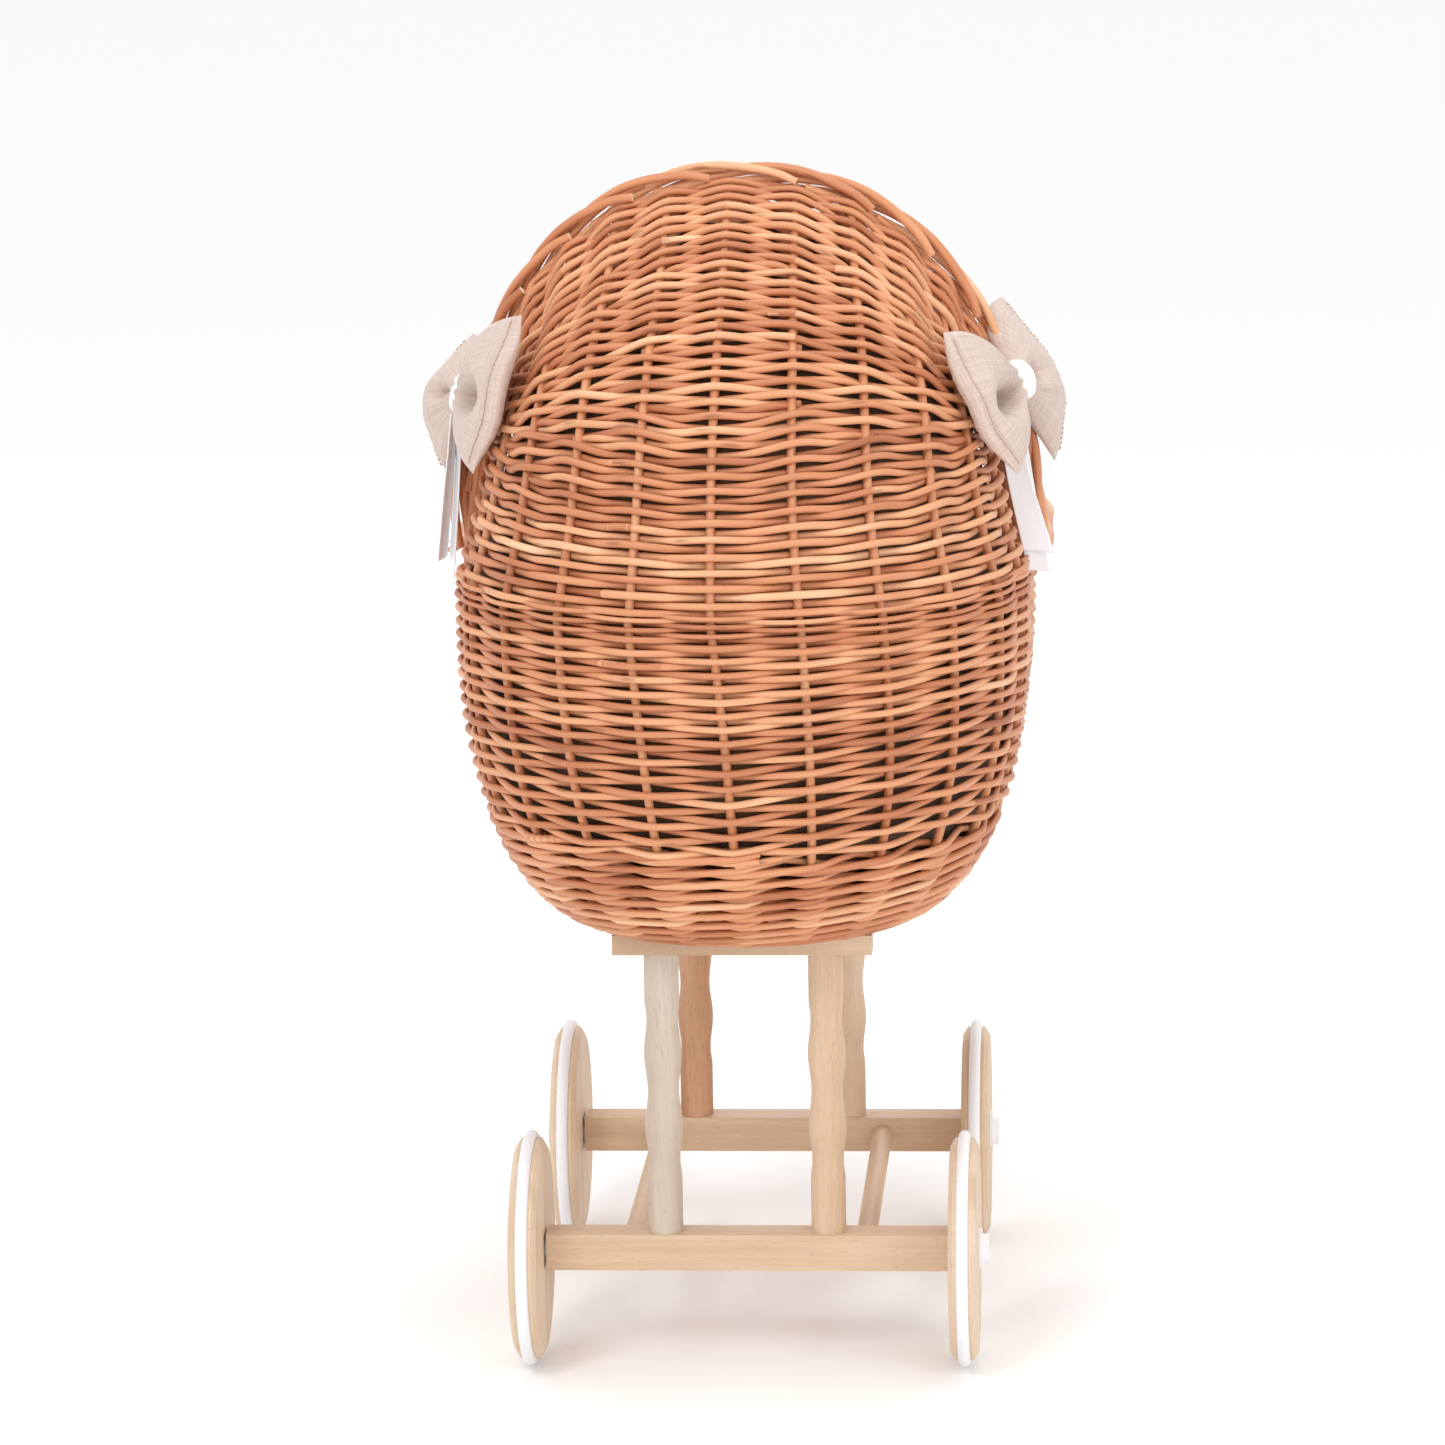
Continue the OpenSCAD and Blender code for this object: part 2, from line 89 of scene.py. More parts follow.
def sample(at, known, values):
    """Rows of values read between the known places, column by column."""
    return np.stack([np.interp(at, known, values[:, c]) for c in range(values.shape[1])], -1)


def unit(v):
    """The vectors at length one."""
    v = np.asarray(v, float)
    return v / np.linalg.norm(v, axis=-1)[..., None]


def smoothed(rows, times):
    """The rows evened out between their two ends."""
    for _ in range(times):
        rows[1:-1] = (rows[:-2] + 2 * rows[1:-1] + rows[2:]) / 4
    return rows


# ---------------------------------------------------------------- meshes


def finish_mesh(name, verts, faces):
    """A smooth mesh object from vertices in millimetres and faces, riding on the chassis."""
    mesh = bpy.data.meshes.new(name)
    points = np.asarray(verts, float).copy()
    points[:, 1] += ROW_Y
    mesh.from_pydata((points * 0.001).tolist(), [], faces)
    mesh.validate()
    mesh.polygons.foreach_set("use_smooth", [True] * len(mesh.polygons))
    obj = bpy.data.objects.new(name, mesh)
    bpy.context.scene.collection.objects.link(obj)
    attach(obj, "chassis")
    return obj


class Rods:
    """Many rods gathered into one mesh, with each rod's own tint and grain."""

    def __init__(self, sides=8):
        self.sides = sides
        self.verts, self.faces, self.tint, self.grain, self.pale = [], [], [], [], []
        self.count = 0

    def add(self, path, out, radius, tint, caps=(True, True), cut=(0.0, 0.0), squash=1.0):
        """A rod along path; out is a direction off the surface at each point."""
        path = np.asarray(path, float)
        out = np.asarray(out, float)
        n, k = len(path), self.sides
        radius = np.broadcast_to(np.asarray(radius, float), (n,)).copy()
        step = np.gradient(path, axis=0)
        step /= np.linalg.norm(step, axis=1)[:, None] + 1e-9
        out = out - (out * step).sum(1)[:, None] * step
        out /= np.linalg.norm(out, axis=1)[:, None] + 1e-9
        side = np.cross(step, out)
        along = lengths(path)
        angle = np.arange(k) * 2 * PI / k
        ring_out = np.cos(angle)[None, :, None] * out[:, None, :] * squash
        ring_side = np.sin(angle)[None, :, None] * side[:, None, :]
        ring = path[:, None, :] + radius[:, None, None] * (ring_out + ring_side)
        base = self.count
        self.verts.append(ring.reshape(-1, 3))
        i = np.arange(n - 1)[:, None] * k + base
        j = np.arange(k)[None, :]
        j2 = (j + 1) % k
        quads = np.stack([i + j, i + j2, i + k + j2, i + k + j], -1).reshape(-1, 4)
        self.faces += quads.tolist()
        grain = np.zeros((n, k, 3))
        grain[:, :, 0] = along[:, None]
        grain[:, :, 1] = np.cos(angle)[None, :] * radius[:, None]
        grain[:, :, 2] = np.sin(angle)[None, :] * radius[:, None]
        offset = rng.uniform(0, 900, 3)
        self.grain.append((grain + offset).reshape(-1, 3))
        self.tint.append(np.full(n * k, tint))
        self.pale.append(np.zeros(n * k))
        self.count += n * k
        for end, shown in enumerate(caps):
            if shown:
                self._cap(ring[-end], path[-end], step[-end] * (1 if end else -1), radius[-end],
                          tint, cut[end], end, grain[-end, 0] + offset)

    def _cap(self, ring, centre, direction, radius, tint, cut, end, grain):
        k = self.sides
        base = self.count
        lift = 0.35 * radius * (1 - cut)
        inner = centre + 0.8 * (ring - centre) + direction * lift * 0.7
        points = np.concatenate([ring, inner, [centre + direction * lift]])
        self.verts.append(points)
        for j in range(k):
            j2 = (j + 1) % k
            quad = [base + j, base + j2, base + k + j2, base + k + j]
            tri = [base + k + j, base + k + j2, base + 2 * k]
            self.faces.append(quad if end else quad[::-1])
            self.faces.append(tri if end else tri[::-1])
        self.grain.append(np.tile(grain, (2 * k + 1, 1)) + (points - centre) * 3)
        self.tint.append(np.full(2 * k + 1, tint))
        self.pale.append(np.concatenate([np.full(k, cut), np.full(k + 1, cut)]))
        self.count += 2 * k + 1

    def make(self, name, material, slot, *nodes):
        obj = finish_mesh(name, np.concatenate(self.verts), self.faces)
        mesh = obj.data
        for label, kind, values in (
            ("tint", "FLOAT", np.concatenate(self.tint)),
            ("pale", "FLOAT", np.concatenate(self.pale)),
            ("grain", "FLOAT_VECTOR", np.concatenate(self.grain) * 0.001),
        ):
            layer = mesh.attributes.new(label, kind, "POINT")
            layer.data.foreach_set("vector" if kind == "FLOAT_VECTOR" else "value",
                                   np.asarray(values, np.float32).ravel())
        mesh.materials.append(material)
        if nodes:
            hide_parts(*nodes)
        return obj


# ---------------------------------------------------------------- materials


class Nodes:
    def __init__(self, name):
        self.material = bpy.data.materials.new(name)
        self.material.use_nodes = True
        self.tree = self.material.node_tree
        self.shader = self.tree.nodes["Principled BSDF"]

    def add(self, kind, **inputs):
        node = self.tree.nodes.new(kind)
        for key, value in inputs.items():
            if key[0] == "_":
                setattr(node, key[1:], value)
            else:
                self.plug(value, node.inputs[key.replace("_", " ")])
        return node

    def plug(self, value, socket):
        if isinstance(value, bpy.types.NodeSocket):
            self.tree.links.new(value, socket)
        else:
            socket.default_value = value

    def attribute(self, name, output="Fac"):
        return self.add("ShaderNodeAttribute", _attribute_name=name).outputs[output]

    def math(self, operation, a, b=0.0, clamp=False):
        node = self.tree.nodes.new("ShaderNodeMath")
        node.operation = operation
        node.use_clamp = clamp
        self.plug(a, node.inputs[0])
        self.plug(b, node.inputs[1])
        return node.outputs[0]

    def ramp(self, factor, stops):
        node = self.tree.nodes.new("ShaderNodeValToRGB")
        node.color_ramp.interpolation = "LINEAR"
        while len(node.color_ramp.elements) < len(stops):
            node.color_ramp.elements.new(0.5)
        for element, (at, colour) in zip(node.color_ramp.elements, stops):
            element.position = at
            element.color = (*colour, 1) if len(colour) == 3 else colour
        self.plug(factor, node.inputs[0])
        return node.outputs[0]

    def mix(self, factor, a, b, blend="MIX"):
        node = self.tree.nodes.new("ShaderNodeMix")
        node.data_type = "RGBA"
        node.blend_type = blend
        self.plug(factor, node.inputs[0])
        self.plug(a if isinstance(a, bpy.types.NodeSocket) else (*a, 1), node.inputs[6])
        self.plug(b if isinstance(b, bpy.types.NodeSocket) else (*b, 1), node.inputs[7])
        return node.outputs[2]

    def scaled(self, vector, scale, location=(0, 0, 0)):
        node = self.add("ShaderNodeMapping", Vector=vector)
        node.inputs["Scale"].default_value = scale
        node.inputs["Location"].default_value = location
        return node.outputs[0]

    def noise(self, vector, scale, detail=3.0, roughness=0.55, distortion=0.0):
        node = self.add("ShaderNodeTexNoise", Vector=vector, Scale=scale, Detail=detail,
                        Roughness=roughness, Distortion=distortion)
        return node.outputs[0]

    def bump(self, height, strength, distance, normal=None):
        node = self.add("ShaderNodeBump", Strength=strength, Distance=distance, Height=height)
        if normal is not None:
            self.plug(normal, node.inputs["Normal"])
        return node.outputs[0]

    def set(self, **inputs):
        for key, value in inputs.items():
            self.plug(value, self.shader.inputs[key.replace("_", " ")])
        return self


def hue(red, green, blue):
    """A colour written as it looks on a screen, 0 to 255, as the shader wants it."""
    def linear(value):
        value /= 255.0
        return value / 12.92 if value <= 0.04045 else ((value + 0.055) / 1.055) ** 2.4
    return linear(red), linear(green), linear(blue)


def willow(name):
    """Buff willow: each rod's own tint, streaks along it, ruddy patches and small dark knots."""
    m = Nodes(name)
    tint = m.attribute("tint")
    grain = m.attribute("grain", "Vector")
    slow = m.noise(m.scaled(grain, (9, 60, 60)), 1.0, 2.0)
    streak = m.noise(m.scaled(grain, (40, 900, 900)), 1.0, 4.0, 0.6)
    value = m.math("ADD", m.math("MULTIPLY", slow, 0.8), m.math("MULTIPLY", tint, 0.5))
    value = m.math("ADD", value, m.math("MULTIPLY", streak, 0.35))
    value = m.math("SUBTRACT", value, 0.28, clamp=True)
    body = m.ramp(value, [
        (0.0, hue(146, 82, 52)),
        (0.3, hue(184, 114, 75)),
        (0.55, hue(208, 141, 99)),
        (0.8, hue(224, 167, 124)),
        (1.0, hue(238, 194, 154)),
    ])
    patch = m.noise(m.scaled(grain, (16, 25, 25), (3, 1, 7)), 1.0, 2.0)
    body = m.mix(m.math("MULTIPLY", m.ramp(patch, [(0.5, (0, 0, 0)), (0.75, (1, 1, 1))]), 0.35),
                 body, hue(205, 126, 92))
    knots = m.add("ShaderNodeTexVoronoi", Vector=m.scaled(grain, (22, 120, 120)), Scale=1.0)
    spot = m.ramp(knots.outputs["Distance"], [(0.0, (1, 1, 1)), (0.1, (0.7, 0.7, 0.7)), (0.17, (0, 0, 0))])
    body = m.mix(m.math("MULTIPLY", spot, 0.55), body, hue(96, 56, 36))
    body = m.mix(m.attribute("pale"), body, hue(246, 226, 196))
    ridges = m.noise(m.scaled(grain, (60, 1600, 1600)), 1.0, 3.0)
    lumps = m.noise(m.scaled(grain, (90, 160, 160)), 1.0, 2.0)
    normal = m.bump(lumps, 0.25, 0.0006)
    normal = m.bump(ridges, 0.35, 0.00025, normal)
    rough = m.math("ADD", m.math("MULTIPLY", streak, 0.3), 0.33)
    m.set(Base_Color=body, Roughness=rough, Normal=normal)
    m.set(Specular_IOR_Level=0.42, Coat_Weight=0.12, Coat_Roughness=0.3)
    return m.material


def beech(name, axis, tone, seed, marks=0.0):
    """Beech with its grain along an axis: fine flecks, soft bands and a few grey marks."""
    m = Nodes(name)
    at = m.add("ShaderNodeTexCoord").outputs["Object"]
    place = tuple(seed * f for f in (1.37, 2.11, 0.73))

    def stretched(along, across):
        scale = [across] * 3
        scale[axis] = along
        return m.scaled(at, scale, place)

    bands = m.noise(stretched(2.2, 26.0), 1.0, 4.0, 0.6, 0.8)
    fine = m.noise(stretched(14.0, 420.0), 1.0, 4.0, 0.65)
    flecks = m.noise(stretched(120.0, 900.0), 1.0, 2.0, 0.5)
    fleck = m.ramp(flecks, [(0.58, (0, 0, 0)), (0.72, (1, 1, 1))])
    light, mid, deep = tone
    body = m.ramp(bands, [(0.25, deep), (0.5, mid), (0.75, light)])
    body = m.mix(m.math("MULTIPLY", m.ramp(fine, [(0.35, (1, 1, 1)), (0.6, (0, 0, 0))]), 0.32), body, deep)
    body = m.mix(m.math("MULTIPLY", fleck, 0.32), body, tuple(c * 0.62 for c in deep))
    if marks:
        stain = m.noise(stretched(16.0, 50.0), 1.0, 3.0, 0.6, 0.5)
        stain = m.ramp(stain, [(0.6, (0, 0, 0)), (0.72, (1, 1, 1))])
        body = m.mix(m.math("MULTIPLY", stain, marks), body, hue(150, 138, 122))
    normal = m.bump(fine, 0.18, 0.0003)
    normal = m.bump(flecks, 0.12, 0.0002, normal)
    rough = m.math("ADD", m.math("MULTIPLY", fine, 0.2), 0.42)
    m.set(Base_Color=body, Roughness=rough, Normal=normal)
    m.set(Specular_IOR_Level=0.35)
    return m.material


def cloth(name, warp, weft, pitch, twill=False, bump=0.5):
    """A weave in the cloth's own UV metres: two threads, with slubs and soft creases."""
    m = Nodes(name)
    uv = m.add("ShaderNodeUVMap", _uv_map="cloth").outputs[0]
    split = m.add("ShaderNodeSeparateXYZ", Vector=uv)
    u, v = split.outputs[0], split.outputs[1]
    turns = 2 * PI / pitch
    a = m.math("SINE", m.math("MULTIPLY", u, turns))
    b = m.math("SINE", m.math("MULTIPLY", v, turns))
    if twill:
        rising = m.math("ADD", u, v)
        steep = m.math("SUBTRACT", u, m.math("MULTIPLY", v, 0.35))
        a = m.math("SINE", m.math("MULTIPLY", steep, turns * 1.6))
        b = m.math("SINE", m.math("MULTIPLY", rising, turns * 0.55))
    slub_u = m.noise(m.scaled(uv, (30, 900, 1)), 1.0, 3.0)
    slub_v = m.noise(m.scaled(uv, (900, 30, 1)), 1.0, 3.0)
    over = m.math("ADD", m.math("MULTIPLY", m.math("MULTIPLY", a, b), 0.5), 0.5)
    weave = m.math("ADD", m.math("MULTIPLY", slub_u, over),
                   m.math("MULTIPLY", slub_v, m.math("SUBTRACT", 1.0, over)))
    body = m.mix(m.ramp(weave, [(0.3, (0, 0, 0)), (0.7, (1, 1, 1))]), warp, weft)
    shade = m.math("ADD", m.math("MULTIPLY", over, 0.16), 0.88)
    shade_colour = m.add("ShaderNodeCombineColor", Red=shade, Green=shade, Blue=shade).outputs[0]
    body = m.mix(1.0, body, shade_colour, "MULTIPLY")
    creases = m.noise(m.scaled(uv, (60, 60, 1)), 1.0, 3.0)
    normal = m.bump(creases, 0.12, 0.0015)
    normal = m.bump(weave, bump, 0.00035, normal)
    normal = m.bump(over, bump, 0.0003, normal)
    m.set(Base_Color=body, Normal=normal, Roughness=0.88)
    m.set(Specular_IOR_Level=0.2, Sheen_Weight=0.25, Sheen_Roughness=0.5)
    return m.material


def plain(name, colour, roughness, speck, bump, scale=300.0, metallic=0.0, specular=0.4):
    """One colour with a little dirt and a fine bump: rubber, plastic, steel or thread."""
    m = Nodes(name)
    at = m.add("ShaderNodeTexCoord").outputs["Object"]
    noise = m.noise(at, scale, 4.0, 0.6)
    wide = m.noise(at, scale / 14, 2.0)
    body = m.mix(m.math("MULTIPLY", noise, speck), colour, tuple(c * 0.7 for c in colour))
    body = m.mix(m.math("MULTIPLY", wide, speck), body, tuple(c * 0.82 for c in colour))
    normal = m.bump(noise, bump, 0.0002)
    m.set(Base_Color=body, Normal=normal, Metallic=metallic, Specular_IOR_Level=specular)
    m.set(Roughness=m.math("ADD", m.math("MULTIPLY", wide, 0.2), roughness - 0.1))
    return m.material


# ---------------------------------------------------------------- camera and light


# The camera stands behind the hood, where the photograph was taken from.
CAMERA_AT = (0.2567, -3.9965, 1.2011)
CAMERA_YAW, CAMERA_PITCH, CAMERA_ROLL = (math.radians(a) for a in (4.0, -11.66, -0.969))
SENSOR = 36.0
LENS = 157.69744
FLOOR_REACH = 20.0
# name, place, aim, size in metres, power in watts
LIGHTS = (
    ("key", (-1.1, -2.7, 2.5), (0, -0.1, 0.5), 0.9, 27.0),
    ("fill", (2.0, -2.4, 1.3), (0, -0.1, 0.5), 1.2, 14.0),
    ("top", (0.0, -0.3, 2.7), (0, -0.05, 0.6), 1.2, 10.0),
    ("back", (0.3, 2.6, 1.6), (0, 0, 0.5), 1.6, 12.0),
)


def studio():
    """The camera, a white world, four soft lights and a pale floor."""
    scene = bpy.context.scene
    scene.view_settings.view_transform = "Standard"
    data = bpy.data.cameras.new("camera")
    data.sensor_width = SENSOR
    data.lens = LENS
    data.clip_end = 50.0
    camera = bpy.data.objects.new("camera", data)
    scene.collection.objects.link(camera)
    camera.location = CAMERA_AT
    camera.rotation_mode = "XYZ"
    turn = (Matrix.Rotation(CAMERA_YAW, 4, "Z") @ Matrix.Rotation(PI / 2 + CAMERA_PITCH, 4, "X")
            @ Matrix.Rotation(CAMERA_ROLL, 4, "Z"))
    camera.rotation_euler = turn.to_euler()
    scene.camera = camera

    world = bpy.data.worlds.new("studio")
    scene.world = world
    world.use_nodes = True
    sky = world.node_tree.nodes["Background"]
    sky.inputs[0].default_value = (1.0, 1.0, 1.0, 1)
    sky.inputs[1].default_value = 1.0

    for name, place, target, size, power in LIGHTS:
        light = bpy.data.lights.new(name, "AREA")
        light.shape = "SQUARE"
        light.size = size
        light.energy = power
        lamp = bpy.data.objects.new(name, light)
        scene.collection.objects.link(lamp)
        lamp.location = place
        lamp.rotation_euler = (Vector(target) - Vector(place)).to_track_quat("-Z", "Y").to_euler()

    floor = bpy.data.meshes.new("floor")
    corners = [(x * FLOOR_REACH, y * FLOOR_REACH, 0) for x, y in ((-1, -1), (1, -1), (1, 1), (-1, 1))]
    floor.from_pydata(corners, [], [(0, 1, 2, 3)])
    ground = bpy.data.objects.new("floor", floor)
    scene.collection.objects.link(ground)
    m = Nodes("floor_paint")
    m.set(Base_Color=(0.95, 0.95, 0.95, 1), Roughness=0.8, Specular_IOR_Level=0.0)
    floor.materials.append(m.material)


# ---------------------------------------------------------------- the basket's surfaces


def profile_table():
    """The middle surface's profile from the base's edge to the rim: radius, height, slope, length."""
    a = np.radians(np.linspace(0.0, 90.0, 400))
    r = BASE_R + (BOWL_R - BASE_R) * np.sin(a) ** (2 / 1.85)
    z = RAIL_TOP + (WIDEST_Z - RAIL_TOP) * (1 - np.cos(a) ** (2 / 2.25))
    rise = np.linspace(WIDEST_Z, RIM_Z + 12, 40)[1:]
    r = np.concatenate([r, np.full(len(rise), BOWL_R)])
    z = np.concatenate([z, rise])
    dr, dz = np.gradient(r), np.gradient(z)
    size = np.hypot(dr, dz)
    dr, dz = dr / size, dz / size
    mid_r, mid_z = r - MID * dz, z + MID * dr
    # the inward lean of the first few points folds back where the profile is flat
    keep = np.concatenate([[True], np.diff(mid_r) > -1e-6])
    mid_r, mid_z, dr, dz = mid_r[keep], mid_z[keep], dr[keep], dz[keep]
    along = np.concatenate([[0], np.cumsum(np.hypot(np.diff(mid_r), np.diff(mid_z)))])
    return mid_r, mid_z, dr, dz, along


PROF_R, PROF_Z, PROF_DR, PROF_DZ, PROF_S = profile_table()
RIM_V = float(np.interp(RIM_Z, PROF_Z, PROF_S))


def loop_frame(s):
    """The loop's centre line and outward direction at s millimetres round the rim from the back."""
    s = (s + HALF_LOOP) % (2 * HALF_LOOP) - HALF_LOOP
    size, sign = np.abs(s), np.where(s < 0, -1.0, 1.0)
    quarter = BOWL_R * PI / 2
    head = np.clip(size / BOWL_R, 0, PI / 2)
    foot = np.clip((size - quarter - 2 * END_Y) / BOWL_R, 0, PI / 2)
    straight = np.clip(size - quarter, 0, 2 * END_Y)
    hx = sign * np.where(size < quarter + 2 * END_Y, np.sin(head), np.cos(foot))
    hy = np.where(size < quarter + 2 * END_Y, -np.cos(head), np.sin(foot))
    return -END_Y + straight, hx, hy


def bowl(s, v, off):
    """Points on the lower basket and their outward directions."""
    s, v, off = np.broadcast_arrays(*(np.asarray(x, float) for x in (s, v, off)))
    r, z = np.interp(v, PROF_S, PROF_R), np.interp(v, PROF_S, PROF_Z)
    r = r + np.minimum(v, 0) * 1.0
    dr, dz = np.interp(v, PROF_S, PROF_DR), np.interp(v, PROF_S, PROF_DZ)
    cy, hx, hy = loop_frame(s)
    out = np.stack([hx * dz, hy * dz, -dr], -1)
    point = np.stack([hx * r, cy + hy * r, z], -1)
    return point + out * off[..., None], out


def mouth_y(h):
    return -CORNER_BACK - (TOP_BACK - CORNER_BACK) * h / HOOD_H


def arch(angle, w, h, p):
    return w * signed_power(np.sin(angle), p), h * np.abs(np.cos(angle)) ** p


def hood_outer(u, t):
    """The hood's outer face: u is -1 to 1 along the rim, t is 0 to 1 up to the mouth."""
    share = BOWL_R * PI / 2 / HOOD_HALF
    a = np.radians(90) * np.clip(u / share, -1, 1)
    foot = np.stack([HOOD_FOOT_R * np.sin(a), -END_Y - HOOD_FOOT_R * np.cos(a),
                     np.full_like(a, RIM_Z)], -1)
    extra = np.clip(np.abs(u) - share, 0, None) * HOOD_HALF
    foot[..., 1] += extra
    b = np.radians(HOOD_SPREAD) * u
    ax, az = arch(b, HOOD_W, HOOD_H, 2 / 2.2)
    top = np.stack([ax, mouth_y(az), RIM_Z + az], -1)
    rise = top[..., 2] - foot[..., 2]
    up = np.stack([-0.22 * np.sin(a), 0.12 * np.cos(a), np.full_like(a, 0.97)], -1)
    up = up * (0.52 * rise)[..., None]
    turn = np.radians(np.sign(u) * 90 * np.abs(u) ** 1.3)
    climb = np.radians(27 + 46 * np.abs(u) ** 1.5)
    fore = np.stack([-np.sin(turn) * np.cos(climb), np.cos(turn) * np.cos(climb), np.sin(climb)], -1)
    fore = fore * (0.33 * np.linalg.norm(top - foot, axis=-1))[..., None]
    k = [((1 - t) ** 3), 3 * t * (1 - t) ** 2, 3 * t * t * (1 - t), t ** 3]
    return sum(c[..., None] * p for c, p in zip(k, (foot, foot + up, top - fore, top)))


HOOD_U = np.linspace(-1.0, 1.0, 241)
HOOD_T = np.linspace(0.0, 1.0, 161)


def hood_table():
    """The hood's middle surface on a grid, even along each upright line, with outward directions."""
    u, t = np.meshgrid(HOOD_U, HOOD_T, indexing="ij")
    outer = hood_outer(u, t)
    du, dt = np.gradient(outer, axis=0), np.gradient(outer, axis=1)
    out = np.cross(du, dt)
    out /= np.linalg.norm(out, axis=-1)[..., None]
    inset = MID - 4.6 * smooth((t - 0.8) / 0.2) - 2.6 * smooth(1 - t / 0.22)
    middle = outer - inset[..., None] * out
    length = np.zeros_like(t)
    length[:, 1:] = np.cumsum(np.linalg.norm(np.diff(middle, axis=1), axis=-1), axis=1)
    even_p, even_n = np.zeros_like(middle), np.zeros_like(out)
    for i in range(len(HOOD_U)):
        share = length[i] / length[i, -1]
        for c in range(3):
            even_p[i, :, c] = np.interp(HOOD_T, share, middle[i, :, c])
            even_n[i, :, c] = np.interp(HOOD_T, share, out[i, :, c])
    even_n /= np.linalg.norm(even_n, axis=-1)[..., None]
    b = np.radians(HOOD_SPREAD) * HOOD_U
    bx, bz = arch(b, MOUTH_W - 4.0, MOUTH_H - 4.0, 2 / 2.2)
    meet = np.stack([bx, mouth_y(bz) + 2.0, RIM_Z + BORDER_T / 2 + bz], -1)
    pull = smooth((HOOD_T - 0.72) / 0.28) ** 1.3 * 0.78
    high = smooth((meet[:, 2] - RIM_Z - 90) / 60)
    even_p += (meet - even_p[:, -1])[:, None, :] * pull[None, :, None] * high[:, None, None]
    length = np.linalg.norm(np.diff(even_p, axis=1), axis=-1).sum(1)
    return even_p, even_n, length


HOOD_P, HOOD_N, HOOD_L = hood_table()


def hood(u, t, off):
    """Points on the hood and their outward directions; past 1 it runs on straight."""
    u, t, off = np.broadcast_arrays(*(np.asarray(x, float) for x in (u, t, off)))
    fu = np.clip((u + 1) / 2, 0, 1) * (len(HOOD_U) - 1)
    ft = np.clip(t, 0, 1) * (len(HOOD_T) - 1)
    i = np.minimum(fu.astype(int), len(HOOD_U) - 2)
    j = np.minimum(ft.astype(int), len(HOOD_T) - 2)
    a, b = (fu - i)[..., None], (ft - j)[..., None]

    def at(grid):
        return ((grid[i, j] * (1 - a) + grid[i + 1, j] * a) * (1 - b)
                + (grid[i, j + 1] * (1 - a) + grid[i + 1, j + 1] * a) * b)

    out = at(HOOD_N)
    out /= np.linalg.norm(out, axis=-1)[..., None]
    point = at(HOOD_P)
    ahead = (HOOD_P[i, -1] - HOOD_P[i, -3])
    ahead /= np.linalg.norm(ahead, axis=-1)[..., None]
    past = np.clip(t - 1, 0, None) * np.interp(u, HOOD_U, HOOD_L)
    return point + out * off[..., None] + ahead * past[..., None], out


# ---------------------------------------------------------------- the weave


def wander(length, size, reach=7):
    """Small smooth random steps along a row, one draw for each stake."""
    count = int(length) + reach
    rough = rng.normal(0, size, count)
    kernel = np.hanning(reach)
    return np.convolve(rough, kernel / np.sqrt((kernel ** 2).sum()), "same")


def lean(v):
    """How far the middle back stake has drifted to the side at this height of the basket."""
    return np.interp(v, [0, 0.3 * RIM_V, 0.65 * RIM_V, RIM_V], [9.0, 5.0, -1.0, -9.0])


def row_shift(s, v):
    """The rows climb towards the right side, most at half height."""
    s = (s + HALF_LOOP) % (2 * HALF_LOOP) - HALF_LOOP
    ramp = np.interp(s, [-400, -60, 0, 60, 170, 300, 500], [-1.0, -1.0, -2.0, 2.5, 9.0, 6.0, 0.0])
    return ramp * np.sin(PI * np.clip(v / RIM_V, 0, 1)) ** 1.2


def weave_rod(rods, k0, k1, place, radius, tint, side=1.0, per=10):
    """One weaver from stake position k0 to k1; place(k, off) gives its points and directions."""
    n = max(int((k1 - k0) * per), 6)
    k = np.linspace(k0, k1, n + 1)
    wave = np.arcsin(CRISP * np.cos(PI * k)) / math.asin(CRISP) * side
    sway = 1 + np.interp(k, np.arange(math.floor(k0), math.ceil(k1) + 2),
                         wander(k1 - k0 + 3, 0.06)[:math.ceil(k1) + 2 - math.floor(k0)])
    off = OVER * wave * sway
    r = lerp(radius[0], radius[1], np.linspace(0, 1, n + 1))
    points, out = place(k, off)
    rods.add(points, out, r, tint)


def weaver_radius(low, high):
    """A weaver's radius at its start and end: butt first or tip first."""
    butt = rng.uniform(low, high)
    tip = butt - rng.uniform(0.1, 0.45)
    return (butt, tip) if rng.random() < 0.5 else (tip, butt)


def lower_basket(material):
    """Randing round the body, over a band of three-rod waling that turns in to the base."""
    rods = Rods(8)
    wale_top = 88.0
    loose, loose_rows, tight = 5.1, 14, 4.1
    rows = loose_rows + (RIM_V - 8.0 - wale_top - loose * loose_rows) / tight
    total = rows * STAKES
    drift_v = wander(total + 4, 0.28, 9)
    k = 0.0
    while k < total:
        length = int(rng.integers(18, 34))
        if int(k + length) % 2 == 0:
            length += 1
        end = min(k + length, total)
        radius = weaver_radius(2.15, 2.5)

        def place(q, off):
            row = q / STAKES
            v = wale_top + loose * row - (loose - tight) * np.clip(row - loose_rows, 0, None)
            v = v + np.interp(q, np.arange(len(drift_v)), drift_v)
            s = stake_on(q, lean(v))
            v = v + row_shift(s, v)
            return bowl(s, v, off)

        weave_rod(rods, max(k - 1.4, 0), end, place, radius, rng.random(), per=9)
        k = end
    wale(rods, 0.0, wale_top, 10)
    rods.make("basket_weave", material, "willow_weave", "basket_wall")


def stake_on(q, drift):
    """Round-the-rim place of a running stake count q, for a height's drift."""
    near = (q + STAKES / 2) % STAKES - STAKES / 2
    fade = np.clip(1 - np.abs(near) / 6.0, 0, 1)
    return near * SPACING + drift * fade


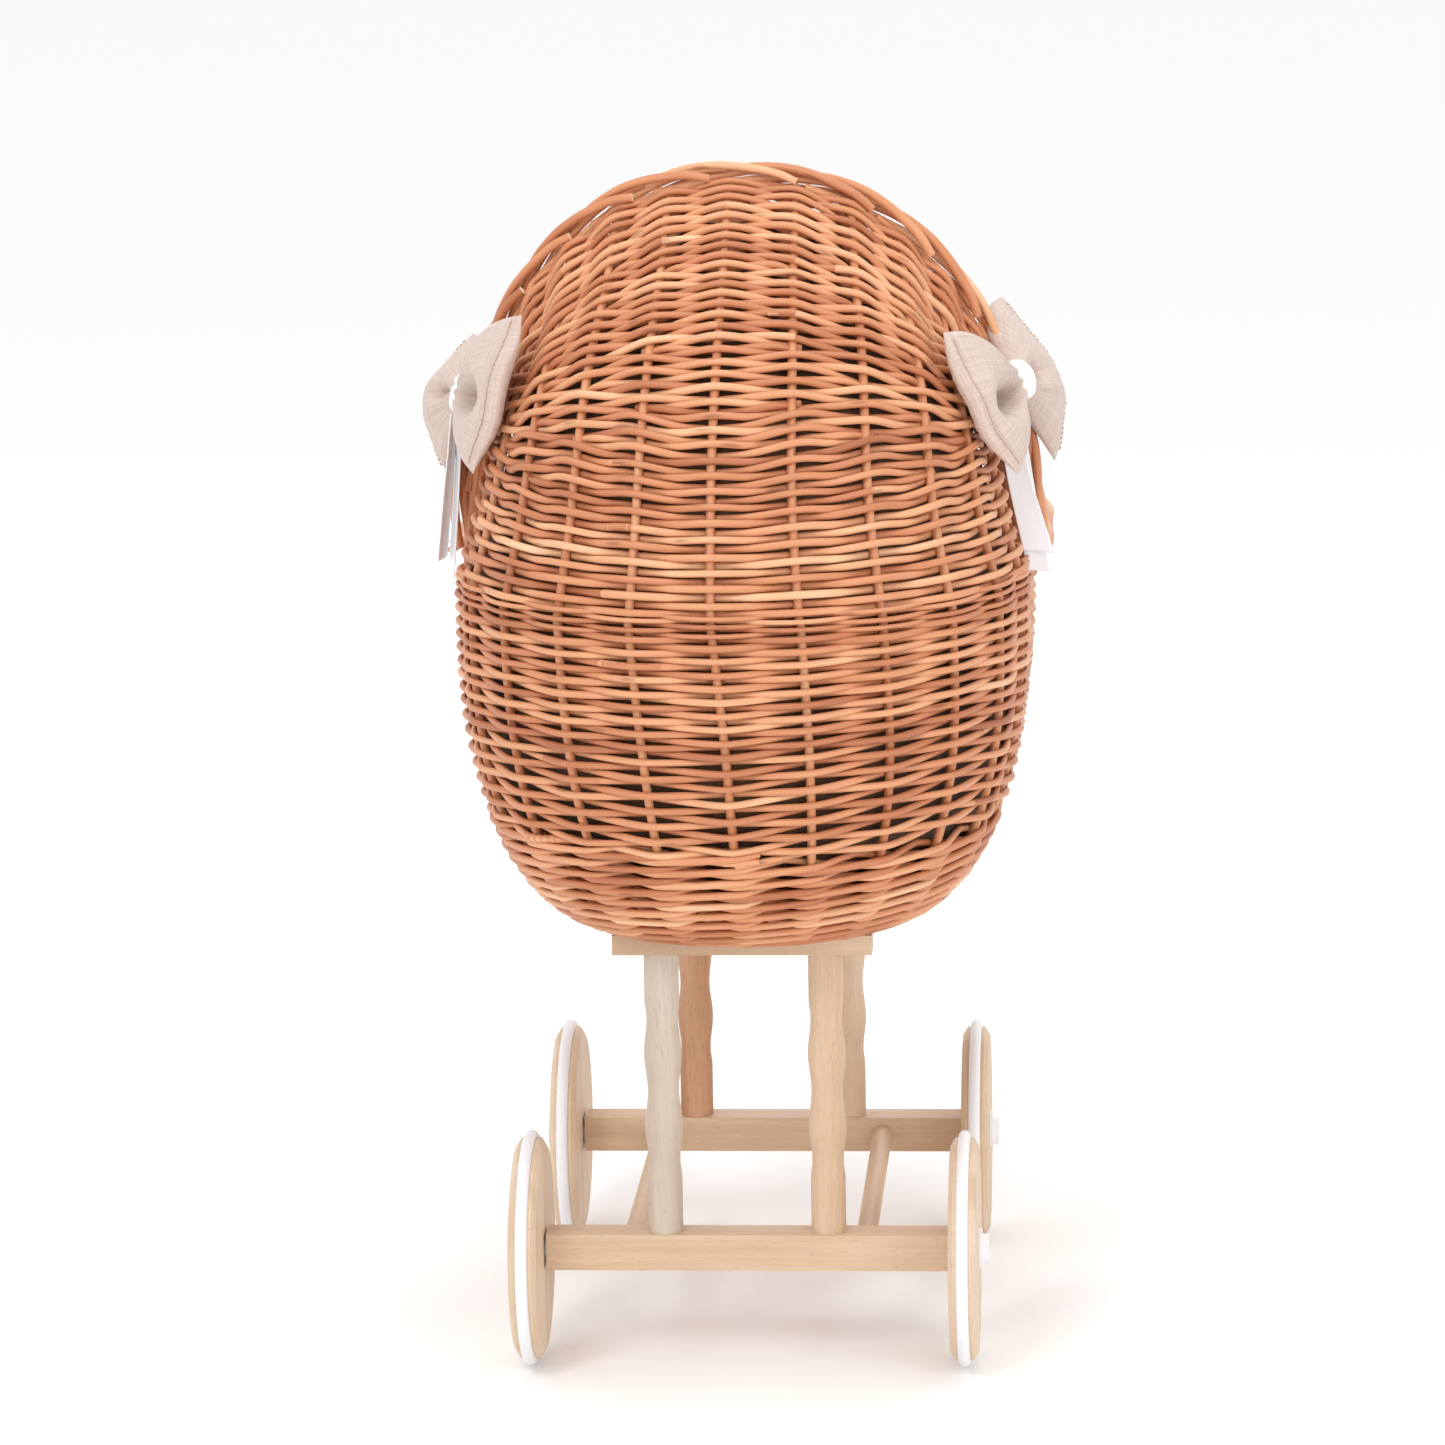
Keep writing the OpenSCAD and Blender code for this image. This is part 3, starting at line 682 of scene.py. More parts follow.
def wale(rods, low, high, rows):
    """Three rods at a time, each over two stakes and behind one."""
    step = (high - low) / rows
    for strand in range(3):
        total = rows * STAKES
        k = strand - 3.0
        while k < total:
            length = int(rng.integers(5, 10)) * 3
            end = min(k + length, total)
            n = int((end - k) * 8)
            q = np.linspace(max(k - 0.5, 0), end + 0.3, n)
            phase = ((q - strand) / 3) % 1
            shape = np.clip(1.7 * np.cos(2 * PI * (phase - 0.5)) + 0.35, -1, 1)
            height = np.interp(phase, [0, 0.12, 0.88, 1], [0, -0.42, 0.42, 0]) * step
            v = low + step * (q / STAKES) + height + 2.0
            s = stake_on(q, lean(v))
            butt = rng.uniform(2.3, 2.75)
            points, out = bowl(s, v, OVER * shape)
            rods.add(points, out, np.linspace(butt, butt - rng.uniform(0, 0.6), n), rng.random())
            k = end


def basket_stakes(material):
    """The uprights of the body and of the hood."""
    rods = Rods(8)
    for k in range(STAKES):
        near = (k + STAKES // 2) % STAKES - STAKES // 2
        v = np.linspace(-24, RIM_V + (0 if abs(near) <= 6 else 5), 46)
        wobble = rng.normal(0, 0.5)
        s = stake_on(np.full_like(v, near), lean(v)) + wobble * np.sin(v / 40 + k)
        points, out = bowl(s, np.maximum(v, -24), -0.3)
        rods.add(points, out, np.linspace(2.9, 2.8, len(v)), 0.25 + 0.5 * rng.random())
    for k in range(-6, 7):
        t = np.linspace(0.0, 1.01, 54)
        u = hood_stake(k, t)
        points, out = hood(u, t, -0.3)
        rods.add(points, out, 2.85, 0.25 + 0.5 * rng.random())
    rods.make("stakes", material, "willow_rod")


HOOD_DRIFT = -10.0


def hood_stake(k, t):
    """Where hood stake k stands across the hood, from -1 to 1."""
    k = np.asarray(k, float)
    drift = HOOD_DRIFT * np.interp(t, [0, 0.3, 1], [0.9, 1.0, 0.6])
    fade = np.clip(1 - np.abs(k) / 6.0, 0, 1)
    return (k * HOOD_HALF / 6 + drift * fade) / HOOD_HALF


def hood_weave(material):
    """Randing up the hood in pairs of rows; short pairs turn back before they reach the sides."""
    rods = Rods(8)
    pair = 8.9
    at = np.array([np.interp(abs(k) / 6, HOOD_U, HOOD_L) for k in range(7)])
    wanted = np.maximum(np.round(at / pair), 4).astype(int)
    count = wanted[0]
    order = sorted(range(7, count - 4), key=lambda j: (j * 0.61803) % 1)
    reach = np.full(count, 6)
    gone = 0
    for k in range(1, 7):
        drop = wanted[0] - wanted[k] - gone
        drop = min(drop, len(order) - gone)
        for j in order[gone:gone + drop]:
            reach[j] = k - 1 if k > 1 else 1
        gone += max(drop, 0)
    fine = np.linspace(-6.2, 6.2, 249)
    weight = np.ones((count, len(fine)))
    for j in range(count):
        if reach[j] < 6:
            weight[j] = 1 - smooth((np.abs(fine) - reach[j] + 0.7) / 1.1)
        weight[j] *= lerp(1.1, 0.8, smooth((j / count - 0.2) / 0.8))
    total = weight.sum(0)
    below = np.cumsum(weight, axis=0) - weight
    low_t, high_t = 0.014, 0.998
    for j in range(count):
        end = reach[j] + 0.12 if reach[j] < 6 else 6.05
        for half in (0, 1):
            rows_t = low_t + (high_t - low_t) * (below[j] + weight[j] * (0.25 + 0.5 * half)) / total
            rough = wander(16, 0.0011, 5)[:14]
            tuck = 1.0 if half else -1.0

            def place(q, off):
                t = np.interp(q, fine, rows_t) + np.interp(q, np.arange(-7, 7), rough)
                u = hood_stake(q, t)
                edge = smooth((np.abs(q) - (end - 0.55)) / 0.5)
                return hood(u, t, off * (1 - edge) - 2.6 * edge)

            cuts = [-end, end]
            if rng.random() < 0.55 and end > 3:
                middle = float(rng.integers(-2, 3)) * 2 + (1 if (half == 0) else 0)
                if -end + 1 < middle < end - 1:
                    cuts = [-end, middle, end]
            for a, b in zip(cuts, cuts[1:]):
                radius = weaver_radius(2.3, 2.65)
                start = a - 0.35 if a != cuts[0] else a
                weave_rod(rods, start, b, place, radius, rng.random(), side=tuck, per=10)
    rods.make("hood_weave", material, "willow_weave", "hood")


def rim_band(material):
    """Thin rows where the hood's weave meets the body's, and under the rim's border."""
    rods = Rods(6)
    thin = 4.0
    # first round the hood's foot, then round the open rim
    for row in range(5):
        k = np.linspace(-6.7, 6.7, 160)
        v = RIM_V - 6.4 + row * 2.7 + np.sin(k * 1.3 + row) * 0.4
        points, out = bowl(stake_on(k, lean(v)), v, thin * np.cos(PI * k) * (-1) ** row)
        rods.add(points, out, 1.55, rng.random() * 0.8)
    for row in range(5):
        k = np.linspace(5.6, STAKES - 5.6, 400)
        v = RIM_V - 11.0 + row * 2.9 + np.sin(k * 0.7 + row) * 0.3
        points, out = bowl(k * SPACING, v, thin * np.cos(PI * k) * (-1) ** row)
        rods.add(points, out, 1.9, rng.random() * 0.8)
    rods.make("rim_band", material, "willow_weave")


def rolled(rods, line, starts, span, turn, wide, deep, radius, phase, tip=0.0):
    """A rolled border: each stake bends along it and winds round it, ending in a cut tip when tip is set.

    The line is the border's centre with its outward and its other cross direction. A stake runs for
    span, turns about the centre from phase by turn rounds, and stands off it by wide and deep.
    """
    centre, out, across = line
    length = lengths(centre)
    for start in starts:
        n = 60
        f = np.linspace(0, 1, n)
        x = start + span * f
        keep = (x >= 0) & (x <= length[-1])
        if keep.sum() < 12:
            continue
        f, x = f[keep], x[keep]
        c, o, w = (sample(x, length, values) for values in (centre, out, across))
        angle = phase + 2 * PI * turn * f
        proud = (1 + 0.10 * rng.normal()) * (1 + tip * smooth((f - 0.82) / 0.18))
        path = c + o * (wide * proud * np.cos(angle))[:, None]
        path = path + w * (deep * proud * np.sin(angle))[:, None]
        r = radius * rng.uniform(0.93, 1.07)
        taper = np.linspace(r, r * 0.86, len(x))
        ref = o * np.cos(angle)[:, None] + w * np.sin(angle)[:, None]
        rods.add(path, ref, taper, rng.random(), cut=(0.0, 1.0 if tip else 0.0))


def hood_border(material):
    """The rolled border round the hood's mouth, and the rods between it and the hood's sides."""
    rods = Rods(10)
    a = np.radians(np.linspace(-90, 90, 241))
    x, z = arch(a, MOUTH_W, MOUTH_H, 2 / 2.2)
    y = mouth_y(z) + BORDER_T / 2 + 0.3
    centre = np.stack([x, y, RIM_Z + BORDER_T / 2 - 1.5 + z], -1)
    step = unit(np.gradient(centre, axis=0))
    back = np.tile([0.0, -1.0, -0.14], (len(a), 1))
    back = unit(back - (back * step).sum(1)[:, None] * step)
    out = np.cross(step, back)
    out *= np.sign((out * (centre - [0, 0, RIM_Z + 60])).sum(1))[:, None]
    line = (centre, out, back)
    length = float(np.linalg.norm(np.diff(centre, axis=0), axis=1).sum())
    gap = length / 14
    starts = [gap * (i - 1.5) + rng.normal(0, 2.0) for i in range(18)]
    rolled(rods, line, starts, gap * 3.2, turn=0.73, wide=6.2, deep=5.4, radius=3.1, phase=PI, tip=0.6)
    starts = [gap * (i - 1.1) + rng.normal(0, 2.0) for i in range(18)]
    rolled(rods, line, starts, gap * 2.9, turn=0.62, wide=5.0, deep=3.8, radius=2.8, phase=2.2)
    # upright rods fill the strip between the hood's outermost stakes and the border
    level = RIM_Z + np.linspace(-4.0, 150.0, 70)
    for side in (-1, 1):
        up, _ = hood(np.full(200, float(side)), np.linspace(0, 1, 200), -0.3)
        over, _ = hood(side * np.linspace(1, 0.7, 120), np.ones(120), -0.3)
        edge = np.concatenate([up, over[1:]])
        half = centre[:len(centre) // 2 + 1] if side < 0 else centre[len(centre) // 2:][::-1]
        inner = sample(level, edge[:, 2], edge[:, :2])
        outer = sample(level, half[:, 2], half[:, :2])
        for share in (0.2, 0.42, 0.64):
            path = np.concatenate([lerp(inner, outer, share), level[:, None]], 1)
            rods.add(path, np.tile([float(side), 0.0, 0.0], (len(level), 1)), 2.6, rng.random())
    rods.make("hood_border_rods", material, "willow_rod", "hood_border")


def rim_border(material):
    """The rolled border round the open part of the rim."""
    rods = Rods(10)
    border_r, border_z = 184.0, RIM_Z + 6.8
    s0 = BOWL_R * PI / 2 + END_Y - 28.0
    s = np.linspace(s0, 2 * HALF_LOOP - s0, 300)
    cy, hx, hy = loop_frame(s)
    centre = np.stack([hx * border_r, cy + hy * border_r, np.full_like(s, border_z)], -1)
    out = np.stack([hx, hy, np.zeros_like(s)], -1)
    across = np.tile([0.0, 0.0, 1.0], (len(s), 1))
    line = (centre, out, across)
    length = float(np.linalg.norm(np.diff(centre, axis=0), axis=1).sum())
    gap = length / round(length / SPACING)
    count = int(round(length / gap)) + 4
    starts = [gap * (i - 2.5) + rng.normal(0, 2.0) for i in range(count)]
    rolled(rods, line, starts, gap * 3.2, turn=0.87, wide=5.4, deep=3.4, radius=2.9,
           phase=-PI / 2, tip=0.2)
    starts = [gap * (i - 2.1) + rng.normal(0, 2.0) for i in range(count)]
    rolled(rods, line, starts, gap * 2.9, turn=0.62, wide=4.8, deep=3.0, radius=2.7, phase=-1.9)
    rods.make("rim_border_rods", material, "willow_rod", "rim_border")


def base_mat(material):
    """The woven base: long sticks with weavers over and under them."""
    rods = Rods(8)
    middle = RAIL_TOP + 4.5
    first_stick, stick_gap, row_gap = -84, 24, 4.9
    upward = [0, 0, 1.0]
    for x in np.arange(first_stick, 85, stick_gap):
        reach = END_Y + math.sqrt(max(BASE_R ** 2 - x * x, 0)) - 2
        y = np.linspace(-reach, reach, 40)
        points = np.stack([np.full_like(y, x), y, np.full_like(y, middle)], -1)
        rods.add(points, np.tile(upward, (len(y), 1)), 1.9, rng.random())
    for i, y in enumerate(np.arange(-END_Y - BASE_R + 6, END_Y + BASE_R - 5, row_gap)):
        past = max(abs(y) - END_Y, 0)
        reach = math.sqrt(max(BASE_R ** 2 - past ** 2, 0)) - 1
        x = np.linspace(-reach, reach, max(int(reach / 3), 6))
        off = 1.9 * np.cos(PI * (x - first_stick) / stick_gap + PI * i)
        points = np.stack([x, np.full_like(x, y), middle + off], -1)
        rods.add(points, np.tile(upward, (len(x), 1)), rng.uniform(2.0, 2.35), rng.random())
    rods.make("base_weave", material, "willow_weave", "basket_base")


def push_handle(material, skin):
    """A bent willow rod in a wound split-cane skin, tied to the basket at both ends."""
    angle = np.radians(np.linspace(-90, 90, 721))
    half_width, arm_y, grip_y, arm_z, grip_z = 127.0, 229.0, 335.0, 400.0, 585.0
    rod_r, bare_end, pitch = 5.7, 34.0, 4.6
    side, rise = arch(angle, half_width, 1.0, 2 / 3.4)
    raw = np.stack([side, arm_y + (grip_y - arm_y) * rise ** 3, arm_z + (grip_z - arm_z) * rise], -1)
    length = lengths(raw)
    total = length[-1]

    def at(x):
        return sample(x, length, raw)

    def axes(x):
        way = unit(at(x + 1.5) - at(x - 1.5))
        first = unit(np.cross(way, np.tile([0.0, 0.6, -0.8], (len(x), 1))))
        return first, np.cross(way, first)

    core = Rods(12)
    x = np.linspace(0.5, total - 0.5, 160)
    first, second = axes(x)
    core.add(at(x), first, rod_r, 0.35, cut=(1.0, 1.0))
    wrap = Rods(6)
    low, high = bare_end, total - bare_end
    turns = (high - low) / pitch
    for strand in range(6):
        f = np.linspace(strand / 6, (strand + 1) / 6 + 0.004, int(turns * 18 / 6))
        x = low + (high - low) * np.clip(f, 0, 1)
        spin = 2 * PI * turns * f
        first, second = axes(x)
        out = first * np.cos(spin)[:, None] + second * np.sin(spin)[:, None]
        wrap.add(at(x) + out * 5.9, out, 2.35, 0.3 + 0.5 * rng.random(), squash=0.42)
    core.make("handle_rod", material, "willow_rod", "push_handle")
    wrap.make("handle_wrap", skin, "willow_rod")

    ties = Rods(8)
    for end in (0, 1):
        for middle in (19.3, 48.3):
            x0 = middle if end == 0 else total - middle
            for turn in range(6):
                f = np.linspace(0, 1, 40)
                spin = 2 * PI * f
                x = x0 + (turn - 2.5 + f) * 2.5 * (1 if end == 0 else -1)
                here = at(x)
                inward = unit([-here[0, 0], END_Y - here[0, 1], 0.0])
                across = np.cross(inward, [0.0, 0.0, 1.0])
                reach = 8.2 + 4.6 * (np.cos(spin) * 0.5 + 0.5)
                out = inward[None, :] * np.cos(spin)[:, None] + across[None, :] * np.sin(spin)[:, None]
                path = here + inward[None, :] * (np.cos(spin) * reach)[:, None]
                path = path + across[None, :] * (np.sin(spin) * 7.6)[:, None]
                ties.add(path, out, 1.3, 0.2 + 0.5 * rng.random(), squash=0.8)
    ties.make("handle_ties", skin, "willow_rod", "handle_bindings")


# ---------------------------------------------------------------- cloth


def grid_sheet(name, points, uv, material, thickness=0.0, closed=False):
    """A cloth sheet from a grid of points, rows by columns, with a UV map in metres."""
    rows, columns = points.shape[:2]
    faces = []
    last = rows if closed else rows - 1
    for i in range(last):
        i2 = (i + 1) % rows
        for j in range(columns - 1):
            faces.append((i * columns + j, i2 * columns + j, i2 * columns + j + 1, i * columns + j + 1))
    obj = finish_mesh(name, points.reshape(-1, 3), faces)
    mesh = obj.data
    layer = mesh.uv_layers.new(name="cloth")
    flat = uv.reshape(-1, 2)
    index = np.zeros(len(mesh.loops), np.int32)
    mesh.loops.foreach_get("vertex_index", index)
    layer.uv.foreach_set("vector", flat[index].astype(np.float32).ravel())
    mesh.materials.append(material)
    if thickness:
        solid = obj.modifiers.new("thickness", "SOLIDIFY")
        solid.thickness = thickness * 0.001
        solid.offset = 0.0
    return obj


def folds(s, v, seed):
    """Soft wrinkles in a hung lining, in millimetres."""
    a = np.sin(s / 21.0 + seed) * np.sin(v / 47.0 + seed * 2)
    b = np.sin(s / 9.5 + 0.03 * v + seed * 3) * np.sin(v / 80.0 + 1.3)
    return 0.6 * a + 0.35 * b


def linings(material):
    """The body's lining, its floor and the hood's lining, in a cloth darkened to a deep brown that paints
    the shade inside the basket.
    """
    s = np.linspace(-HALF_LOOP, HALF_LOOP, 321)
    v = np.linspace(6.0, RIM_V + 1.0, 60)
    gs, gv = np.meshgrid(s, v, indexing="ij")
    points, _ = bowl(gs, gv, -8.4 - folds(gs, gv, 0.7))
    uv = np.stack([gs, gv], -1) * 0.001
    body = grid_sheet("basket_lining_cloth", points, uv, material, 1.0)
    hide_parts("basket_lining")

    a = np.linspace(0, 2 * PI, 181)
    f = np.linspace(0.0, 1.0, 24)
    ga, gf = np.meshgrid(a, f, indexing="ij")
    x = BASE_R * 0.985 * np.sin(ga)
    y = -BASE_R * 0.985 * np.cos(ga) + np.sign(-np.cos(ga)) * END_Y
    points = np.stack([x * gf, y * gf, 291.5 + 0.4 * np.sin(x * gf / 17) * np.sin(y * gf / 23)], -1)
    uv = np.stack([x * gf, y * gf], -1) * 0.001
    floor = grid_sheet("basket_floor_cloth", points, uv, material, 1.0)

    u = np.linspace(-1, 1, 161)
    t = np.linspace(-0.02, 0.97, 70)
    gu, gt = np.meshgrid(u, t, indexing="ij")
    points, _ = hood(gu, np.clip(gt, 0, 1), -8.2 - folds(gu * HOOD_HALF, gt * 330, 2.1))
    uv = np.stack([gu * 0.33, gt * np.interp(gu, HOOD_U, HOOD_L) * 0.001], -1)
    top = grid_sheet("hood_lining_cloth", points, uv, material, 1.0)
    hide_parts("hood_lining")


def settle(obj, pressure, frames, cap):
    """Puffs a stuffed piece with a short cloth simulation and keeps every point near its start."""
    scene = bpy.context.scene
    mesh = obj.data
    count = len(mesh.vertices)
    start = np.zeros(count * 3, np.float32)
    mesh.vertices.foreach_get("co", start)
    start = start.reshape(-1, 3)
    modifier = obj.modifiers.new("settle", "CLOTH")
    settings = modifier.settings
    settings.quality = 6
    settings.mass = 0.25
    settings.tension_stiffness = 12.0
    settings.compression_stiffness = 12.0
    settings.shear_stiffness = 4.0
    settings.bending_stiffness = 0.25
    settings.use_pressure = True
    settings.uniform_pressure_force = pressure
    settings.effector_weights.gravity = 0.0
    modifier.collision_settings.use_self_collision = False
    scene.frame_start, scene.frame_end = 1, frames
    modifier.point_cache.frame_start, modifier.point_cache.frame_end = 1, frames
    for step in range(1, frames + 1):
        scene.frame_set(step)
    graph = bpy.context.evaluated_depsgraph_get()
    found = obj.evaluated_get(graph).to_mesh()
    end = np.zeros(count * 3, np.float32)
    found.vertices.foreach_get("co", end)
    obj.evaluated_get(graph).to_mesh_clear()
    end = end.reshape(-1, 3)
    move = end - start
    size = np.linalg.norm(move, axis=1)[:, None] + 1e-9
    limit = cap * 0.001
    end = start + move / size * limit * np.tanh(size / limit)
    obj.modifiers.remove(modifier)
    mesh.vertices.foreach_set("co", end.astype(np.float32).ravel())
    mesh.update()
    scene.frame_set(1)


def subdivided(obj):
    sub = obj.modifiers.new("smooth", "SUBSURF")
    sub.levels = 1
    sub.render_levels = 1


def bake_modifiers(obj):
    """Makes the object's mesh what its modifiers show, and drops them."""
    graph = bpy.context.evaluated_depsgraph_get()
    mesh = bpy.data.meshes.new_from_object(obj.evaluated_get(graph))
    old = obj.data
    obj.modifiers.clear()
    obj.data = mesh
    bpy.data.meshes.remove(old)


def welded(obj, distance):
    """Joins the points that lie within a distance, in metres, of each other."""
    weld = obj.modifiers.new("weld", "WELD")
    weld.merge_threshold = distance
    bake_modifiers(obj)


def mattress(material, piping_material):
    """A thin crowned pad with a piped seam round its middle."""
    r, low, high = 100.5, 295.0, 325.0
    around = 200
    a = np.linspace(0, 2 * PI, around, endpoint=False)
    ux, uy = np.sin(a), -np.cos(a)
    shift = np.sign(uy) * END_Y
    rows = []
    half = (high - low) / 2
    middle = (high + low) / 2
    inner = [0.0, 0.2, 0.4, 0.6, 0.75, 0.86, 0.94]
    for side in (1, -1):
        ring = []
        for f in inner:
            crown = half * (0.80 + 0.24 * (1 - f ** 4)) if side > 0 else half
            spread = 0.02 + 0.98 * min(1.0, f * 1.6) if f else 0.0
            level = np.full(around, middle + side * crown)
            ring.append(np.stack([ux * r * f, uy * r * f + shift * spread, level], -1))
        for up in (0.72, 0.38, 0.12):
            bulge = r * (0.985 + 0.022 * (1 - up))
            if up == 0.12:
                bulge -= 1.6
            level = np.full(around, middle + side * up * half)
            ring.append(np.stack([ux * bulge, uy * bulge + shift, level], -1))
        rows.append(ring)
    loops = rows[0] + rows[1][::-1]
    points = np.stack(loops, 1)
    uv = np.stack([points[..., 0], points[..., 1] + points[..., 2]], -1) * 0.001
    pad = grid_sheet("mattress_pad", points, uv, material, closed=True)
    welded(pad, 0.0004)
    settle(pad, 4.0, 20, 3.0)
    subdivided(pad)
    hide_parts("mattress")

    cord = Rods(8)
    a = np.linspace(0, 2 * PI, 260)
    s = np.where(np.cos(a) < 0, 1.0, -1.0) * END_Y
    path = np.stack([np.sin(a) * (r + 0.9), -np.cos(a) * (r + 0.9) + s, np.full_like(a, middle)], -1)
    cord.add(path, np.stack([np.sin(a), -np.cos(a), 0 * a], -1), 1.6, 0.5, caps=(False, False))
    cord.make("mattress_piping", piping_material, "pad_cotton")


def bow_half(name, bow, edge, material, puff, creases, swell):
    """One stuffed loop of a bow: edge runs from its bottom corner to its top one.

    Each crease is its place across the loop, width, depth, and where along the loop it starts to
    fade and how fast. The swell pushes the loop's upper half sideways between knot and edge.
    """
    belly = 3.0
    knot, face = np.asarray(bow["knot"], float), np.asarray(bow["face"], float)
    edge = np.asarray(edge, float)
    across, along = 73, 56
    a = np.linspace(-1, 1, across)
    w = np.linspace(0, 1, along)
    rim = smoothed(sample(a, np.linspace(-1, 1, len(edge)), edge), 12)
    reach = unit(rim[across // 2] - knot)
    up = unit(edge[-1] - edge[0])
    normal = unit(np.cross(reach, up))
    if normal @ face < 0:
        normal = -normal
    ga, gw = np.meshgrid(a, w, indexing="ij")
    root = knot + up * (ga * 8.5)[..., None]
    flat = root * (1 - gw)[..., None] + rim[:, None, :] * gw[..., None]
    flat = flat + up * (np.sin(PI * gw) * np.sign(ga) * np.abs(ga) ** 2 * 6.5)[..., None]
    flat = flat + normal * (belly * np.sin(PI * gw * 0.8))[..., None]
    flat = flat + np.asarray(swell, float) * (np.sin(PI * gw) * np.clip(ga, 0, 1) ** 1.5)[..., None]
    wave = 1.6 * np.sin(5.2 * ga + 1.0) * gw ** 3 * (1 - np.abs(ga) ** 6)
    flat = flat + normal * wave[..., None]
    shape = np.clip(1 - np.abs(ga) ** 2.6, 0, 1) ** 0.6
    full = (0.45 + 0.55 * smooth(gw / 0.42)) * np.clip(1 - gw ** 4.0, 0, 1) ** 0.6
    depth = puff * shape * full
    layers = []
    for side in (1, -1):
        fold = np.zeros_like(ga)
        for at, width, deep, start, spread in creases:
            line = at * (1 + 0.35 * gw)
            valley = np.exp(-(np.abs(ga - line) / width) ** 1.3)
            fade = np.exp(-(np.clip(gw - start, 0, None) / spread) ** 2) * smooth((gw - 0.08) / 0.26)
            fold += deep * valley * fade
        pleat = 1.1 * np.sin(11 * ga + 2 * side) * np.exp(-(gw / 0.3) ** 2) * smooth(gw / 0.08)
        pucker = 0.35 * np.sin(38 * ga + 3 * side) * np.exp(-((gw - 0.97) / 0.06) ** 2)
        soft = 0.7 * np.sin(6.0 * ga + 7.0 * gw + side) * gw * (1 - gw)
        lift = depth + (pleat + soft) * shape + pucker * shape - fold
        floor_at = -0.95 * depth if side > 0 else 0.3 * depth
        layers.append(flat + normal * (side * np.maximum(lift, floor_at))[..., None])
    front, back = layers
    overlap = ((front - back) @ normal) < 0.6
    back[overlap] = front[overlap] - normal * 0.6
    back[0], back[-1] = front[0], front[-1]
    back[:, -1] = front[:, -1]
    loop = np.concatenate([front, back[::-1]], 0)
    size = np.linalg.norm(edge[-1] - edge[0])
    span = np.linalg.norm(rim[across // 2] - knot)
    u = np.concatenate([a, 2 + a]) * size / 2
    gu, gv = np.meshgrid(u, w * span, indexing="ij")
    uv = np.stack([gv, gu], -1) * 0.001
    obj = grid_sheet(name, loop, uv, material, closed=True)
    welded(obj, 0.00005)
    subdivided(obj)
    line = along - 5
    return obj, front[3:-3, line] + normal * 0.6, np.tile(normal, (across - 6, 1))


def seam(name, points, out, material):
    """A row of raised stitches along a line, a little off the cloth."""
    size, gap = 0.55, 3.2
    points = np.asarray(points, float)
    length = lengths(points)
    stitches = Rods(6)
    for x in np.arange(1.0, length[-1] - 1.0, gap):
        span = np.linspace(x, x + gap * 0.66, 5)
        path = sample(span, length, points)
        lift = np.sin(np.linspace(0, PI, 5)) * 0.5
        way = sample(span, length, out)
        stitches.add(path + way * lift[:, None], way, size, 0.5)
    stitches.make(name, material, "bow_linen")


def knot_band(name, centre, axis, up, material, wide, tall, deep):
    """A soft stuffed white roll gathered round the middle of a bow."""
    centre, axis, up = np.asarray(centre, float), unit(axis), unit(up)
    up = unit(up - axis * (up @ axis))
    out = np.cross(axis, up)
    a = np.linspace(0, 2 * PI, 72, endpoint=False)
    w = np.linspace(-1, 1, 33)
    ga, gw = np.meshgrid(a, w, indexing="ij")
    rim = np.clip(1 - np.abs(gw) ** 6, 0, 1) ** 0.5
    crease = 0.5 * np.sin(gw * 6 + 1.1 * np.sin(ga * 2)) + 0.35 * np.sin(gw * 11 + ga * 3)
    h = (tall + crease) * rim
    d = (deep + crease) * rim
    c, s = np.cos(ga), np.sin(ga)
    section_u = np.sign(c) * np.abs(c) ** 0.85 * h
    section_o = np.sign(s) * np.abs(s) ** 0.85 * d
    points = (centre + axis * (gw * wide / 2)[..., None] + up * section_u[..., None]
              + out * section_o[..., None])
    uv = np.stack([ga * tall, gw * wide / 2], -1) * 0.001
    obj = grid_sheet(name, points, uv, material, closed=True)
    welded(obj, 0.00005)
    subdivided(obj)
    return obj


def ribbon(name, points, widths, directions, material):
    """A flat cotton tail along a few points, with a soft wave and a slight curl across its width."""
    points = np.asarray(points, float)
    n = 50
    at = np.linspace(0, len(points) - 1, n)
    index = np.arange(len(points))

    def curve(values):
        return smoothed(sample(at, index, np.asarray(values, float)), 6)

    middle = curve(points)
    across = unit(curve(directions))
    width = np.interp(at, index, widths)
    out = np.cross(unit(np.gradient(middle, axis=0)), across)
    f = np.linspace(-1, 1, 12)
    curl = 0.8 * f ** 2
    grid = (middle[:, None, :] + across[:, None, :] * (f[None, :, None] * width[:, None, None] / 2)
            + out[:, None, :] * curl[None, :, None])
    length = lengths(middle)
    uv = np.stack(np.meshgrid(length, f * 9, indexing="ij"), -1) * 0.001
    obj = grid_sheet(name, grid, uv, material, 1.0)
    subdivided(obj)
    return obj


